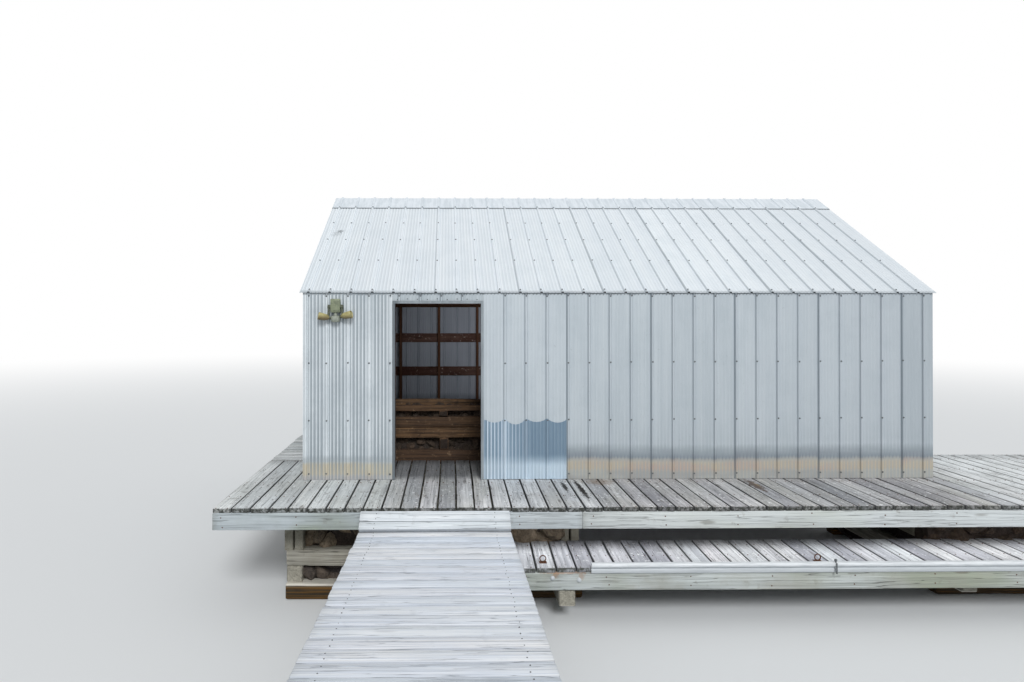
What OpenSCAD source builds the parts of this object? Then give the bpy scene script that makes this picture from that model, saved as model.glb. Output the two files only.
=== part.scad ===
// Boathouse of ribbed metal sheet on a timber dock with rock-filled cribs.
// Lengths are in millimetres. Drawing frame: X runs to the right along the
// front wall, Y runs back from it, Z = 0 is the top of the deck boards.
// The drawing frame's origin is the front left corner of the house.

/* [House] */
// Length of the house along the front, over the sheets
house_l = 6096; // [5400:1:7200]
// Depth of the house from front to back, over the sheets
house_d = 4267; // [3800:1:5200]
// Height of the front wall at the eave
wall_h = 1800; // [1760:1:2400]
// Rise of the roof from eave to ridge
roof_rise = 1255; // [900:1:1500]
// How far the roof sheets pass the wall at the eave
eave_over = 14; // [5:1:60]
// How far the roof sheets pass the wall at each gable
rake_over = 32; // [5:1:60]

/* [Sheets] */
// Distance from one major rib to the next
rib_pitch = 203.2; // [190:0.1:230]
// Height of a major rib
rib_h = 14; // [8:1:25]
// Width of a major rib at its foot
rib_base = 32; // [24:1:45]
// Width of a major rib at its top
rib_top = 14; // [8:1:20]
// Thickness of the sheets
sheet_t = 1; // [0.8:0.1:2]
// Height of the small flutes between the major ribs
flute_h = 4; // [2:0.5:8]
// Small flutes between two major ribs
flute_count = 5; // [3:1:5]
// Middle of the first rib of the wall left of the doorway
left_rib = 228; // [150:1:240]
// Middle of the first rib of the wall right of the doorway
right_rib = 1735; // [1675:1:1800]
// Middle of the first rib of the roof
roof_rib = 55; // [8:1:200]

/* [Doorway] */
// Left edge of the doorway, from the left corner of the house
door_x = 881; // [600:1:1200]
// Clear width of the doorway
door_w = 827; // [650:1:900]
// Clear height of the doorway
door_h = 1691; // [1600:1:1691]
// Width of the metal trim round the doorway
trim_w = 25; // [20:1:45]

/* [Patch] */
// Width of the newer sheet beside the doorway
patch_w = 813; // [600:1:1000]
// Height of the newer sheet at the ribs
patch_h = 585; // [400:1:900]
// How far its upper edge sags between the ribs
patch_sag = 48; // [20:1:90]

/* [Timber] */
// Thickness of sawn framing boards
board_t = 38; // [30:1:50]
// Depth of the wall studs and rafters
stud_d = 89; // [75:1:140]
// Distance between studs and between rafters
stud_step = 600; // [400:1:800]
// Left side of the first stud in from the corner
stud_first = 630; // [300:1:640]
// Side of the square crib timbers
log_w = 140; // [120:1:200]
// Height of the beams between cribs and joists
beam_h = 286; // [184:1:300]
// Thickness of one ply of those beams
beam_ply = 72; // [50:1:76]
// Gap between the two plies of a beam
ply_gap = 18; // [4:1:30]
// Height of the deck joists and fascia boards
joist_h = 140; // [120:1:185]

/* [Dock] */
// Thickness of the deck boards
deck_t = 38; // [30:1:50]
// Width of the deck in front of the house
front_w = 950; // [750:1:1500]
// Width of the deck beside the left wall
side_w = 535; // [400:1:900]
// How far the deck runs on past the right wall
right_w = 2404; // [2100:1:3600]
// How far the deck runs back inside the house
inner_w = 870; // [700:1:1000]
// How far the right platform runs back past the front wall
right_back = 1080; // [950:1:1160]

/* [Cribs] */
// Left end of the left crib, from the left corner of the house
crib_x = -15; // [-40:1:0]
// Width of the two front cribs
crib_w = 2575; // [2200:1:2700]
// Depth of the two front cribs
crib_d = 1770; // [1760:1:1900]
// How far the cribs stand back from the edge of the deck
crib_back = 350; // [200:1:450]
// How far the last cross timber stands in from the end of the left crib
cross_in = 150; // [0:1:200]
// How far the lowest timber stands out at the front of the left crib
foot_out = 30; // [0:1:80]
// Left end of the right crib, from the left corner of the house
crib2_x = 5700; // [5300:1:5760]
// Width of the two back cribs
back_crib_w = 1846; // [1500:1:2200]
// Depth of the two back cribs
back_crib_d = 1270; // [900:1:1500]
// Thickness of the timber wall that stands inside on the crib
inner_d = 300; // [280:1:400]
// Thickness of the timbers in that wall
inner_log = 100; // [80:1:120]
// Height of its lowest course above the deck
inner_foot = 108; // [60:1:140]
// Gap between its lowest and its middle course
inner_gap_low = 133; // [100:1:200]
// Height of its middle course
inner_course = 228; // [140:1:240]
// Gap between its middle and its top course
inner_gap_top = 66; // [50:1:120]
// Height of its top course
inner_top = 60; // [40:1:100]

/* [Lower dock] */
// Left end of the lower dock, from the left corner of the house
low_x = 1800; // [1796:1:2100]
// How far the lower dock stands out from the cribs
low_w = 544; // [450:1:900]
// How far its boards lie on the crib timber
low_on = 116; // [60:1:135]
// Left end of the white bumper, from the left corner of the house
bumper_x = 2528; // [2250:1:3000]
// Length of the first bumper strip
bumper_l = 1945; // [1200:1:2400]
// Height of the bumper
bumper_h = 84; // [60:1:120]
// How far the bumper stands up over the boards of the lower dock
bumper_up = 44; // [0:1:50]
// Thickness of the bumper
bumper_t = 34; // [20:1:50]
// Radius of the mooring rings, to the middle of the wire
ring_r = 24; // [20:1:45]
// Thickness of that wire
ring_wire = 9; // [6:1:12]

/* [Gangway] */
// Left edge of the gangway, from the left corner of the house
gang_x = 680; // [600:1:688]
// Width of the gangway
gang_w = 1216; // [1100:1:1224]
// Length of the gangway past its flap
gang_l = 3050; // [2400:1:3600]
// Slope of the gangway in degrees
gang_tilt = 2.9; // [0:0.1:5]
// Run of the sloping flap at the deck edge
flap_run = 172; // [150:1:300]
// Drop of the flap from the deck to its foot
flap_drop = 120; // [100:1:124]
// Height of the gangway stringers
stringer_h = 250; // [246:1:280]

/* [Lamp] */
// Middle of the lamp box, from the left corner of the house
lamp_x = 316; // [150:1:700]
// Height of the middle of the lamp box above the deck
lamp_z = 1670; // [1450:1:1690]
// Width of the lamp box
lamp_w = 92; // [70:1:130]
// Height of the lamp box
lamp_h = 130; // [100:1:160]

/* [Hidden] */

timber = "#9f988a";
wet_timber = "#8d8170";
grey_board = "#b3b2ae";
pale_board = "#d6d9db";
inside_timber = "#75604a";
metal = "#bcc5c9";
roof_metal = "#d9dee2";
new_metal = "#a9bfce";
stone = "#7d6656";

seat = 0.3;                      // clearance between a loose piece and its seat
roof_a = atan(roof_rise / (house_d / 2));
slope_l = (house_d / 2) / cos(roof_a);
girt_t = board_t;
frame_y = sheet_t + girt_t;      // outer face of the studs, in from the wall
wall_t = frame_y + stud_d;       // inner face of the studs

deck_right = house_l + right_w;
deck_len = deck_right + side_w;
z_joist = -deck_t - joist_h;     // underside of the joists
z_beam = z_joist - beam_h;       // underside of the deck beams
z_base = z_beam - 3 * log_w;     // foot of the cribs
pair_w = 2 * beam_ply + ply_gap;
crib_y = -front_w + crib_back;
crib_end = crib_y + crib_d;
z_low = z_beam + deck_t;         // top of the lower dock: its boards lie on the crib timber
low_y = crib_y - 2 - low_w;
low_back = crib_y + low_on;      // back ends of its boards
roof_reach = eave_over * cos(roof_a) + (sheet_t + rib_h) * sin(roof_a);

flap_a = atan(flap_drop / flap_run);
flap_in = board_t * sin(flap_a);                 // the flap's underside, back from its foot
gang_y = -front_w - flap_run;
// gangway boards at the flap: its foot rests on them
gang_z = -flap_drop - board_t * cos(flap_a) - seat + flap_in * tan(gang_tilt);
post_w = 140;
gang_end = gang_y - gang_l * cos(gang_tilt) - 25;

// middle of the whole object, for the origin under its middle
mid_x = (deck_right - side_w) / 2;
mid_y = (gang_end + house_d + roof_reach) / 2;

// A square bar from corner p with size s
module bar(p, s) translate(p) cube(s);

// One rib: its foot and top points round x, out by h
function rib(x, base, top, h) = [[x - base / 2, 0], [x - top / 2, h], [x + top / 2, h], [x + base / 2, 0]];

// Outer line of a sheet from a to b, with ribs at whole pitches from first
flute_step = rib_pitch / (flute_count + 1);
function fits(x, half, a, b) = x - half > a + 2 && x + half < b - 2;
function sheet_line(a, b, first) = concat(
    [[a, 0]],
    [
        for (i = [floor((a - first) / rib_pitch) : ceil((b - first) / rib_pitch)])
            for (k = [0 : flute_count])
                let (x = first + i * rib_pitch + k * flute_step)
                let (w = k == 0 ? rib_base : flute_step * 0.6)
                if (fits(x, w / 2, a, b))
                    for (p = k == 0 ? rib(x, rib_base, rib_top, rib_h) : rib(x, w, w * 0.4, flute_h)) p
    ],
    [[b, 0]]
);

// Cross section of a sheet, ribs towards +Y, its flat outer face on Y = 0
module sheet_section(a, b, first) {
    line = sheet_line(a, b, first);
    n = len(line);
    polygon(concat(line, [for (i = [n - 1 : -1 : 0]) line[i] - [0, sheet_t]]));
}

// Upright sheet of the front wall from a to b, between heights z0 and z1
module front_sheet(a, b, z0, z1, first = 0, out = 0)
    translate([0, sheet_t - out, z0]) mirror([0, 1, 0]) translate([0, sheet_t, 0])
        linear_extrude(z1 - z0) sheet_section(a, b, first);

// Children mirrored to the other side of the house
module at_right() translate([house_l, 0, 0]) mirror([1, 0, 0]) children();
module at_back() translate([0, house_d, 0]) mirror([0, 1, 0]) children();

// Local frame of the front roof: Y runs up the slope, Z stands square on it
module on_roof() translate([0, 0, wall_h]) rotate([roof_a, 0, 0]) children();

// Space under the roof sheets, over the whole length
past = rib_pitch;                // how far a cutting shape reaches past the house
module under_roof(grow = 0)
    translate([-past, 0, 0]) rotate([90, 0, 90]) linear_extrude(house_l + 2 * past)
        polygon([[-grow, -10], [-grow, wall_h - grow * tan(roof_a)], [house_d / 2, wall_h + roof_rise],
            [house_d + grow, wall_h - grow * tan(roof_a)], [house_d + grow, -10]]);

/* Cribs: crossed timbers with rock between them */
module long_timbers(x, y, w, d, out = 0)
    for (z = [z_base, z_base + 2 * log_w])
        for (yy = [z == z_base ? y - out : y, y + d - log_w]) bar([x, yy, z], [w, log_w, log_w]);

module cross_timbers(x, y, w, d, ahead)
    for (i = [0 : len(ahead) - 1])
        bar([x + i * (w - log_w) / (len(ahead) - 1), y - ahead[i], z_base + log_w],
            [log_w, d + ahead[i], log_w]);

// Rock fill between the long timbers: two lengths either side of the cross timbers
fill_down = 10;                  // its top lies this far under the beams
module rock_fill(x, y, w, d, crosses) {
    step = (w - log_w) / (crosses - 1);
    for (i = [0 : crosses - 2])
        bar([x + i * step + log_w + seat, y + log_w + seat, z_base],
            [step - log_w - 2 * seat, d - 2 * (log_w + seat), 3 * log_w - fill_down]);
}

// Rock heaped higher between two beams of a front crib, from x0 to x1
heap_h = 150;
module rock_heap(x0, x1)
    bar([x0 + 3, crib_y + log_w + seat, z_beam - fill_down],
        [x1 - x0 - 6, crib_d - 2 * (log_w + seat), heap_h + fill_down]);

left_pair_x = crib_x - 15;       // the first pair of beams stands out a little at the left
mid_pair_x = gang_x + (gang_w - board_t) / 2 - pair_w - 10;
behind_low = low_back + 2;       // beams stop behind the boards of the lower dock
ledge = 175;                     // and over the right crib this much further back
ledge_h = 170;
lower_ahead = low_w - 18;                        // to just behind the face of the lower dock
middle_ahead = 2 + (low_w + board_t) / 2;        // to the middle board of its frame
left_cross_w = crib_w - cross_in;
module left_crib_long_timbers() color(timber) long_timbers(crib_x, crib_y, crib_w, crib_d, foot_out);
module left_crib_cross_timbers() color(timber)
    cross_timbers(crib_x, crib_y, left_cross_w, crib_d, [0, 0, lower_ahead]);
module left_crib_rocks() color(stone) {
    rock_fill(crib_x, crib_y, left_cross_w, crib_d, 3);
    rock_heap(left_pair_x + pair_w, mid_pair_x);
    rock_heap(mid_pair_x + pair_w, crib_x + crib_w - pair_w);
}
module right_crib_long_timbers() color(timber) long_timbers(crib2_x, crib_y, crib_w, crib_d);
module right_crib_cross_timbers() color(timber)
    cross_timbers(crib2_x, crib_y, crib_w, crib_d, [middle_ahead, middle_ahead, middle_ahead]);
// In front of the right crib's beams the rock also lies on its front timber
module right_crib_rocks() color(stone) {
    rock_fill(crib2_x, crib_y, crib_w, crib_d, 3);
    rock_heap(house_l, crib2_x + crib_w - pair_w);
    bar([crib2_x, behind_low, z_beam], [crib_w, ledge - 5, ledge_h]);
}

back_y = house_d - back_crib_d;
back_left = -side_w;
back_left_w = back_crib_w + side_w;
back_right = house_l - back_crib_w;
module back_crib_long_timbers() color(wet_timber) {
    long_timbers(back_left, back_y, back_left_w, back_crib_d);
    long_timbers(back_right, back_y, back_crib_w, back_crib_d);
}
module back_crib_cross_timbers() color(wet_timber) {
    cross_timbers(back_left, back_y, back_left_w, back_crib_d, [0, 0, 0]);
    cross_timbers(back_right, back_y, back_crib_w, back_crib_d, [0, 0]);
}
module back_crib_rocks() color(stone) {
    rock_fill(back_left, back_y, back_left_w, back_crib_d, 3);
    rock_fill(back_right, back_y, back_crib_w, back_crib_d, 2);
}

// Timber wall inside, on the back of the left crib: foot and height of each course
mid_z = inner_foot + inner_gap_low;
top_z = mid_z + inner_course + inner_gap_top;
inner_courses = [[z_joist, inner_foot - z_joist], [mid_z, inner_course], [top_z, inner_top]];
inner_rise = 38;                 // the back timber of the top course stands higher
inner_spacers = [[inner_foot, inner_gap_low], [mid_z + inner_course, inner_gap_top]];
inner_in = wall_t + seat;        // the part above the floor clears the left wall
inner_right = crib_x + crib_w;
inner_mid = (inner_in + inner_right - inner_log) / 2;
module inner_crib_timbers() color(inside_timber) {
    for (c = inner_courses)
        for (y = [inner_w, inner_w + inner_d - inner_log]) {
            x = c[0] < 0 ? log_w : inner_in;
            rise = c[0] == top_z && y > inner_w ? inner_rise : 0;
            bar([x, y + seat, c[0]], [inner_right - x, inner_log - seat, c[1] + rise]);
        }
    for (c = inner_spacers)
        for (x = [inner_in, inner_mid, inner_right - inner_log])
            bar([x, inner_w + seat, c[0] + seat], [inner_log, inner_d - seat, c[1] - 2 * seat]);
}
inner_hollow = inner_d - 2 * inner_log;
module inner_crib_rocks() color(stone)
    for (x = [inner_in, inner_mid])
        bar([x + inner_log + seat, inner_w + inner_log + seat, -deck_t],
            [inner_mid - inner_in - inner_log - 2 * seat, inner_hollow - 2 * seat, top_z + deck_t]);

/* Deck */
module beam_pair(x, y0, y1)
    for (dx = [0, beam_ply + ply_gap]) bar([x + dx, y0, z_beam], [beam_ply, y1 - y0, beam_h]);

module deck_beams() color(timber) {
    beam_pair(left_pair_x, crib_y, house_d);
    beam_pair(mid_pair_x, crib_y, crib_end);
    beam_pair(crib_x + crib_w - pair_w, behind_low, crib_end);
    beam_pair(crib2_x, behind_low + ledge, crib_end);
    beam_pair(house_l - pair_w, behind_low + ledge, house_d);
    beam_pair(crib2_x + crib_w - pair_w, behind_low + ledge, crib_end);
    beam_pair(back_left, back_y, house_d);
    beam_pair(back_crib_w - pair_w, back_y, house_d);
    beam_pair(back_right, back_y, house_d);
}

// Joists along the front deck; the last one shuts the edge over the water
joist_rows = 4;
joist_y0 = crib_y;
joist_gap = (inner_w - board_t - joist_y0) / (joist_rows - 1);
module deck_joists() color(timber) {
    for (i = [0 : joist_rows - 1])
        bar([-side_w + board_t, joist_y0 + i * joist_gap, z_joist],
            [deck_len - 2 * board_t, board_t, joist_h]);
    bar([house_l + board_t, right_back - board_t, z_joist], [right_w - 2 * board_t, board_t, joist_h]);
}

fascia_joint = 2500;             // where two lengths of the front fascia meet
module deck_fascia() color(grey_board) {
    bar([-side_w, -front_w, z_joist], [side_w + fascia_joint, board_t, joist_h]);
    bar([fascia_joint + 2, -front_w, z_joist], [deck_right - fascia_joint - 2, board_t, joist_h]);
    bar([-side_w, -front_w + board_t + 1, z_joist], [board_t, front_w + inner_w - board_t - 1, joist_h]);
    bar([deck_right - board_t, -front_w + board_t + 1, z_joist],
        [board_t, front_w + right_back - board_t - 1, joist_h]);
}

// Front deck in two lengths, which meet under the right wall
module front_deck() color(grey_board) {
    bar([-side_w, -front_w, -deck_t], [side_w + house_l - 1, front_w + inner_w, deck_t]);
    bar([house_l, -front_w, -deck_t], [right_w, front_w + right_back, deck_t]);
}

// Deck along the left wall, its boards across
side_l = house_d - inner_w;
side_rows = 6;
module side_deck_frame() color(timber) {
    bar([-side_w, inner_w + 1, z_joist], [board_t, side_l - 1, joist_h]);
    bar([-board_t, inner_w + 1, z_joist], [board_t, side_l - 1, joist_h]);
    for (i = [0 : side_rows - 1])
        bar([-side_w + board_t + seat, inner_w + 1 + i * (side_l - 1 - board_t) / (side_rows - 1), z_joist],
            [side_w - 2 * (board_t + seat), board_t, joist_h]);
}
module side_deck() color(grey_board)
    bar([-side_w, inner_w + 12, -deck_t], [side_w - seat, side_l - 12, deck_t]);

// Timbers on the beams that carry the left, right and back walls
module house_sills() color(timber) {
    bar([0, inner_w + 1, z_joist], [log_w - seat, side_l - 1, -z_joist]);
    bar([house_l - log_w, inner_w + 1, z_joist], [log_w, side_l - 1, -z_joist]);
    bar([log_w + seat, house_d - log_w, z_joist], [house_l - 2 * (log_w + seat), log_w, -z_joist]);
}

/* Lower dock */
low_l = deck_right - board_t - low_x;
// Frame on the cross timbers, as high as the crib timber behind it
module lower_dock_frame() color(grey_board) {
    z = z_beam - log_w;
    clear = board_t + seat;
    for (y = [low_y, low_y + low_w - board_t]) bar([low_x, y, z], [low_l, board_t, log_w]);
    for (x = [low_x, low_x + low_l - board_t])
        bar([x, low_y + clear, z], [board_t, low_w - 2 * clear, log_w]);
    bar([low_x + clear, low_y + (low_w - board_t) / 2, z], [low_l - 2 * clear, board_t, log_w]);
}
module lower_dock_deck() color(grey_board)
    bar([low_x, low_y, z_beam], [low_l, low_back - low_y, deck_t]);

// Bumper section: a round nose over a flat flange, its back on Y = 0
module bumper_section() {
    translate([-bumper_t / 2, -bumper_t / 2]) circle(d = bumper_t, $fn = 32);
    translate([-bumper_t, -bumper_h + bumper_t / 2]) square([bumper_t, bumper_h - bumper_t]);
    translate([-bumper_t / 2, -bumper_t / 2]) square(bumper_t / 2);
    translate([-bumper_t * 0.4, -bumper_h]) square([bumper_t * 0.4, bumper_t / 2 + 1]);
}
module bumper_strip(x, l)
    translate([x, low_y - seat, z_low + bumper_up]) rotate([90, 0, 90]) linear_extrude(l) bumper_section();
module dock_bumper() color("#eef1f3") {
    bumper_strip(bumper_x, bumper_l);
    bumper_strip(bumper_x + bumper_l + 5, low_x + low_l - bumper_x - bumper_l - 5);
}

// Upright ring on a flat plate near the edge of the lower dock
ring_plate = 6;
ring_in = 120;                   // how far the rings stand in from the edge
ring_at = [-367, bumper_l - 66]; // where they stand, from the left end of the bumper
module mooring_ring(x) translate([x, low_y + ring_in, z_low]) {
    bar([-ring_r - 6, -22, 0], [2 * ring_r + 12, 44, ring_plate]);
    translate([0, 0, ring_plate + ring_r + ring_wire / 2 - 1]) rotate([90, 0, 0]) rotate_extrude($fn = 48)
        translate([ring_r, 0]) circle(d = ring_wire, $fn = 24);
}
module mooring_rings() color("#6b4f3d")
    for (x = ring_at) mooring_ring(bumper_x + x);

/* Gangway */
module on_gangway() translate([0, gang_y, gang_z]) rotate([-gang_tilt, 0, 0]) children();

stringer_in = 105;               // stringers stand in from the edges
stringer_tail = flap_run + crib_back + log_w / 2;
stringer_xs = [stringer_in, (gang_w - board_t) / 2, gang_w - stringer_in - board_t];
module gangway_stringers() color(grey_board) difference() {
    on_gangway()
        for (x = stringer_xs)
            bar([gang_x + x, -gang_l, -deck_t - stringer_h], [board_t, gang_l + stringer_tail, stringer_h]);
    bar([0, crib_y - foot_out - seat, z_base], [crib_w, log_w * 2 + foot_out, z_beam - z_base]);
    bar([0, gang_y + flap_in + 11, z_joist - 8], [crib_w, front_w + flap_run, 200]);
    translate([0, gang_end - 1, z_base]) cube([crib_w, post_w + 1, trestle_top() - z_base]);
}
module gangway_deck() color(pale_board) on_gangway()
    bar([gang_x, -gang_l, -deck_t], [gang_w, gang_l + flap_in + 10, deck_t]);

// Flap: it slopes from the face of the fascia to the gangway
flap_l = flap_run / cos(flap_a);
flap_top = (seat + flap_in) / cos(flap_a);
module gangway_flap() color(pale_board) translate([0, -front_w, 0]) rotate([flap_a, 0, 0])
    bar([gang_x, -flap_l, -board_t], [gang_w, flap_l - flap_top, board_t]);

// Trestle under the outer end: a cap on two posts
function trestle_top() = gang_z + (gang_l - post_w / 2) * sin(gang_tilt) - deck_t - stringer_h + 10;
module gangway_trestle() color(timber) {
    bar([gang_x, gang_end, trestle_top() - log_w], [gang_w, post_w, log_w]);
    for (x = [gang_x + 60, gang_x + gang_w - 60 - post_w])
        bar([x, gang_end, z_base], [post_w, post_w, trestle_top() - log_w - z_base - seat]);
}

/* House frame */
trim_t = 2;
plate_top = wall_h - 68;         // top of the plates on the long walls
plate_bottom = plate_top - board_t;
door_right = door_x + door_w;
jamb = board_t + trim_t;         // jamb stud and the trim on it
ridge_h = joist_h;
ridge_top = wall_h + roof_rise - girt_t / cos(roof_a) - 6;
rafter_drop = (girt_t + stud_d) / cos(roof_a);   // from the sheets down to the rafters' foot
module wall_plates() color(inside_timber) {
    // sole plates: split at the doorway
    bar([wall_t, frame_y, 0], [door_x - jamb - wall_t, stud_d, board_t]);
    bar([door_right + jamb, frame_y, 0], [house_l - wall_t - seat - door_right - jamb, stud_d, board_t]);
    bar([wall_t, house_d - wall_t, 0], [house_l - 2 * wall_t - seat, stud_d, board_t]);
    for (x = [frame_y, house_l - wall_t])
        bar([x, frame_y, 0], [stud_d - seat, house_d - 2 * frame_y, board_t]);
    // top plates of the long walls
    for (y = [frame_y, house_d - wall_t])
        bar([frame_y, y, plate_bottom], [house_l - 2 * frame_y, stud_d, board_t]);
}

// Left sides of the studs: one in each corner, and a row between them
stud_n = floor((house_l - frame_y - 3 * board_t - stud_first) / stud_step);
function stud_xs() = concat(
    [frame_y],
    [for (i = [0 : stud_n]) stud_first + i * stud_step],
    [house_l - frame_y - board_t]
);
stud_len = plate_bottom - board_t;
// gable studs: the middle one stands under the ridge board
gable_n = floor((house_d / 2 - wall_t) / stud_step);
gable_gap = (house_d / 2 - wall_t - seat - board_t / 2) / gable_n;
module wall_studs() color(inside_timber) {
    // front wall: studs clear of the doorway, and one at each jamb
    for (x = stud_xs())
        if (x + board_t < door_x - 2 * board_t || x > door_right + 2 * board_t)
            bar([x, frame_y, board_t], [board_t, stud_d, stud_len]);
    for (x = [door_x - jamb, door_right + trim_t])
        bar([x, frame_y, 0], [board_t, stud_d, plate_bottom]);
    // back wall
    for (x = stud_xs()) bar([x, house_d - wall_t, board_t], [board_t, stud_d, stud_len]);
    // gable walls: studs up to the rafters
    for (x = [frame_y, house_l - wall_t])
        for (i = [-gable_n : gable_n]) {
            run = house_d / 2 - board_t / 2 - abs(i) * gable_gap;
            top = i == 0 ? ridge_top - ridge_h : wall_h + run * tan(roof_a) - rafter_drop;
            bar([x, house_d / 2 - board_t / 2 + i * gable_gap, board_t],
                [stud_d - seat, board_t, top - seat - board_t]);
        }
}

girt_zs = [60, 570, 1120];
girt_h = 89;
back_girt_zs = [75, 688, 1213];  // the back wall's girts are deeper and stand higher
back_girt_h = 140;
head_girt = 70;
module girt_rows(len_x, gap_at, gap_w, zs = girt_zs, h = girt_h) {
    for (z = zs) {
        bar([0, 0, z - h / 2], [gap_at, girt_t, h]);
        if (gap_w > 0) bar([gap_at + gap_w, 0, z - h / 2], [len_x - gap_at - gap_w, girt_t, h]);
    }
    bar([0, 0, wall_h - 36 - head_girt], [len_x, girt_t, head_girt]);
}
module wall_girts() color("#7a4a38") {
    in = frame_y + seat;
    long_run = house_l - 2 * in;
    translate([in, sheet_t, 0]) girt_rows(long_run, door_x - trim_t - in, door_w + 2 * trim_t);
    translate([in, house_d - frame_y, 0]) girt_rows(long_run, long_run, 0, back_girt_zs, back_girt_h);
    for (x = [sheet_t, house_l - frame_y])
        translate([x + girt_t, sheet_t, 0]) rotate([0, 0, 90])
            girt_rows(house_d - 2 * sheet_t, house_d - 2 * sheet_t, 0);
}

// One rafter: cut plumb at the ridge board and at the eave, and level on the plate
rafter_foot = 20;
module rafter(x) difference() {
    on_roof() bar([x, rafter_foot, -girt_t - stud_d], [board_t, slope_l, stud_d]);
    bar([x - 1, (house_d - board_t) / 2, wall_h], [board_t + 2, house_d, 2 * roof_rise]);
    bar([x - 1, 0, plate_top - past], [board_t + 2, wall_t, past]);
    bar([x - 1, -past, plate_top - past], [board_t + 2, past + frame_y, 2 * past]);
}
module rafters() color(inside_timber)
    for (x = stud_xs()) {
        rafter(x);
        at_back() rafter(x);
    }

module ridge_board() color(inside_timber)
    bar([frame_y, (house_d - board_t) / 2, ridge_top - ridge_h],
        [house_l - 2 * frame_y, board_t, ridge_h]);

// Purlins under each roof slope, where the rows of screws are
purlin_at = [0.03, 0.27, 0.48, 0.67, 0.88];
module purlin_rows() on_roof()
    for (t = purlin_at)
        bar([sheet_t, max(t * slope_l - stud_d / 2, 26), -girt_t],
            [house_l - 2 * sheet_t, stud_d, girt_t - seat]);
module purlins() color(inside_timber) {
    purlin_rows();
    at_back() purlin_rows();
}

/* Sheets */
foot_z = 3;                      // gap under the wall sheets
head_z = wall_h - 2;             // wall sheets stop just under the roof sheets
module front_wall_left() color(metal) front_sheet(0, door_x - trim_w, foot_z, head_z, left_rib);
module front_wall_header() color(metal)
    front_sheet(door_x - trim_w + 1, door_right + trim_w - 1, door_h + trim_w + 1, head_z, right_rib);
module front_wall_right() color(metal) front_sheet(door_right + trim_w, house_l, foot_z, head_z, right_rib);
module back_wall() color(metal) at_back() front_sheet(0, house_l, foot_z, head_z, right_rib);

// The newer sheet lies over the wall sheet; its upper edge dips between ribs
patch_x = door_right + trim_w - 15;
module patch_sheet() color(new_metal) intersection() {
    front_sheet(patch_x, patch_x + patch_w, 15, patch_h + 5, right_rib, sheet_t + seat);
    translate([0, wall_t, 0]) rotate([90, 0, 0]) linear_extrude(2 * wall_t) polygon(concat(
        [[patch_x - 5, 0]],
        [
            for (i = [0 : ceil(patch_w / rib_pitch) + 1])
                let (x = right_rib + i * rib_pitch, dip = x + rib_pitch / 2, low = patch_h - patch_sag)
                each [[x - 30, patch_h], [x + 30, patch_h], [dip - 30, low], [dip + 30, low]]
        ],
        [[patch_x + patch_w + 3 * rib_pitch, 0]]
    ));
}

// Gable sheet: the same section, cut to the slopes
module gable_sheet() intersection() {
    translate([0, 0, foot_z]) rotate([0, 0, 90])
        linear_extrude(wall_h + roof_rise) sheet_section(sheet_t + 1, house_d - sheet_t - 1, rib_pitch / 2);
    translate([0, 0, -4 / cos(roof_a)]) under_roof(40);
}
module left_gable_wall() color(metal) gable_sheet();
module right_gable_wall() color(metal) at_right() gable_sheet();

// Metal trim round the doorway: two jambs and a head between them, each an angle
trim_depth = frame_y + 40;
module door_trim() color("#ccd3d6") {
    for (s = [0, 1])
        translate([s == 0 ? door_x : door_right, 0, 0]) mirror([s, 0, 0]) {
            bar([-trim_w + 1, -trim_t - rib_h, 4], [trim_w - 1, trim_t, door_h + trim_w - 4]);
            bar([-trim_t, -trim_t - rib_h, 4], [trim_t, trim_depth, door_h - 4]);
        }
    bar([door_x + seat, -trim_t - rib_h, door_h], [door_w - 2 * seat, trim_t, trim_w]);
    bar([door_x + seat, -trim_t - rib_h, door_h], [door_w - 2 * seat, trim_depth, trim_t]);
}

// Roof sheets: ribs run from eave to ridge
module roof_sheet() on_roof()
    translate([0, slope_l - 6, sheet_t + seat]) rotate([90, 0, 0])
        linear_extrude(slope_l - 6 + eave_over) sheet_section(-rake_over, house_l + rake_over, roof_rib);
module roof_front() color(roof_metal) roof_sheet();
module roof_back() color(roof_metal) at_back() roof_sheet();

// Ridge cap: a bent sheet that lies on both slopes, with ribs over their major ribs
cap_wing = 340;
cap_lift = sheet_t + seat + flute_h + seat;      // its underside, over the small flutes
cap_wide = 3;                                    // its ribs are wider on each side
function cap_line(a, b) = concat(
    [[a, 0]],
    [
        for (i = [0 : floor((b - roof_rib) / rib_pitch)])
            let (x = roof_rib + i * rib_pitch)
            if (fits(x, rib_base / 2 + cap_wide, a, b))
                for (p = rib(x, rib_base + 2 * cap_wide, rib_top + 2 * cap_wide, rib_h - flute_h)) p
    ],
    [[b, 0]]
);
module cap_half() intersection() {
    on_roof() translate([0, slope_l + 2 * rib_h, cap_lift]) rotate([90, 0, 0])
        linear_extrude(cap_wing + 2 * rib_h) {
            line = cap_line(-rake_over, house_l + rake_over);
            polygon(concat(line, [for (i = [len(line) - 1 : -1 : 0]) line[i] + [0, sheet_t]]));
        }
    bar([-past, -past, 0], [house_l + 2 * past, past + house_d / 2, 2 * wall_h + roof_rise]);
}
module ridge_cap() color(roof_metal) {
    cap_half();
    at_back() cap_half();
}

/* Twin lamp on the left panel */
lamp_d = 55;
lamp_y = -rib_h - seat;          // the box clears the ribs
lamp_rim = 8;
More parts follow.
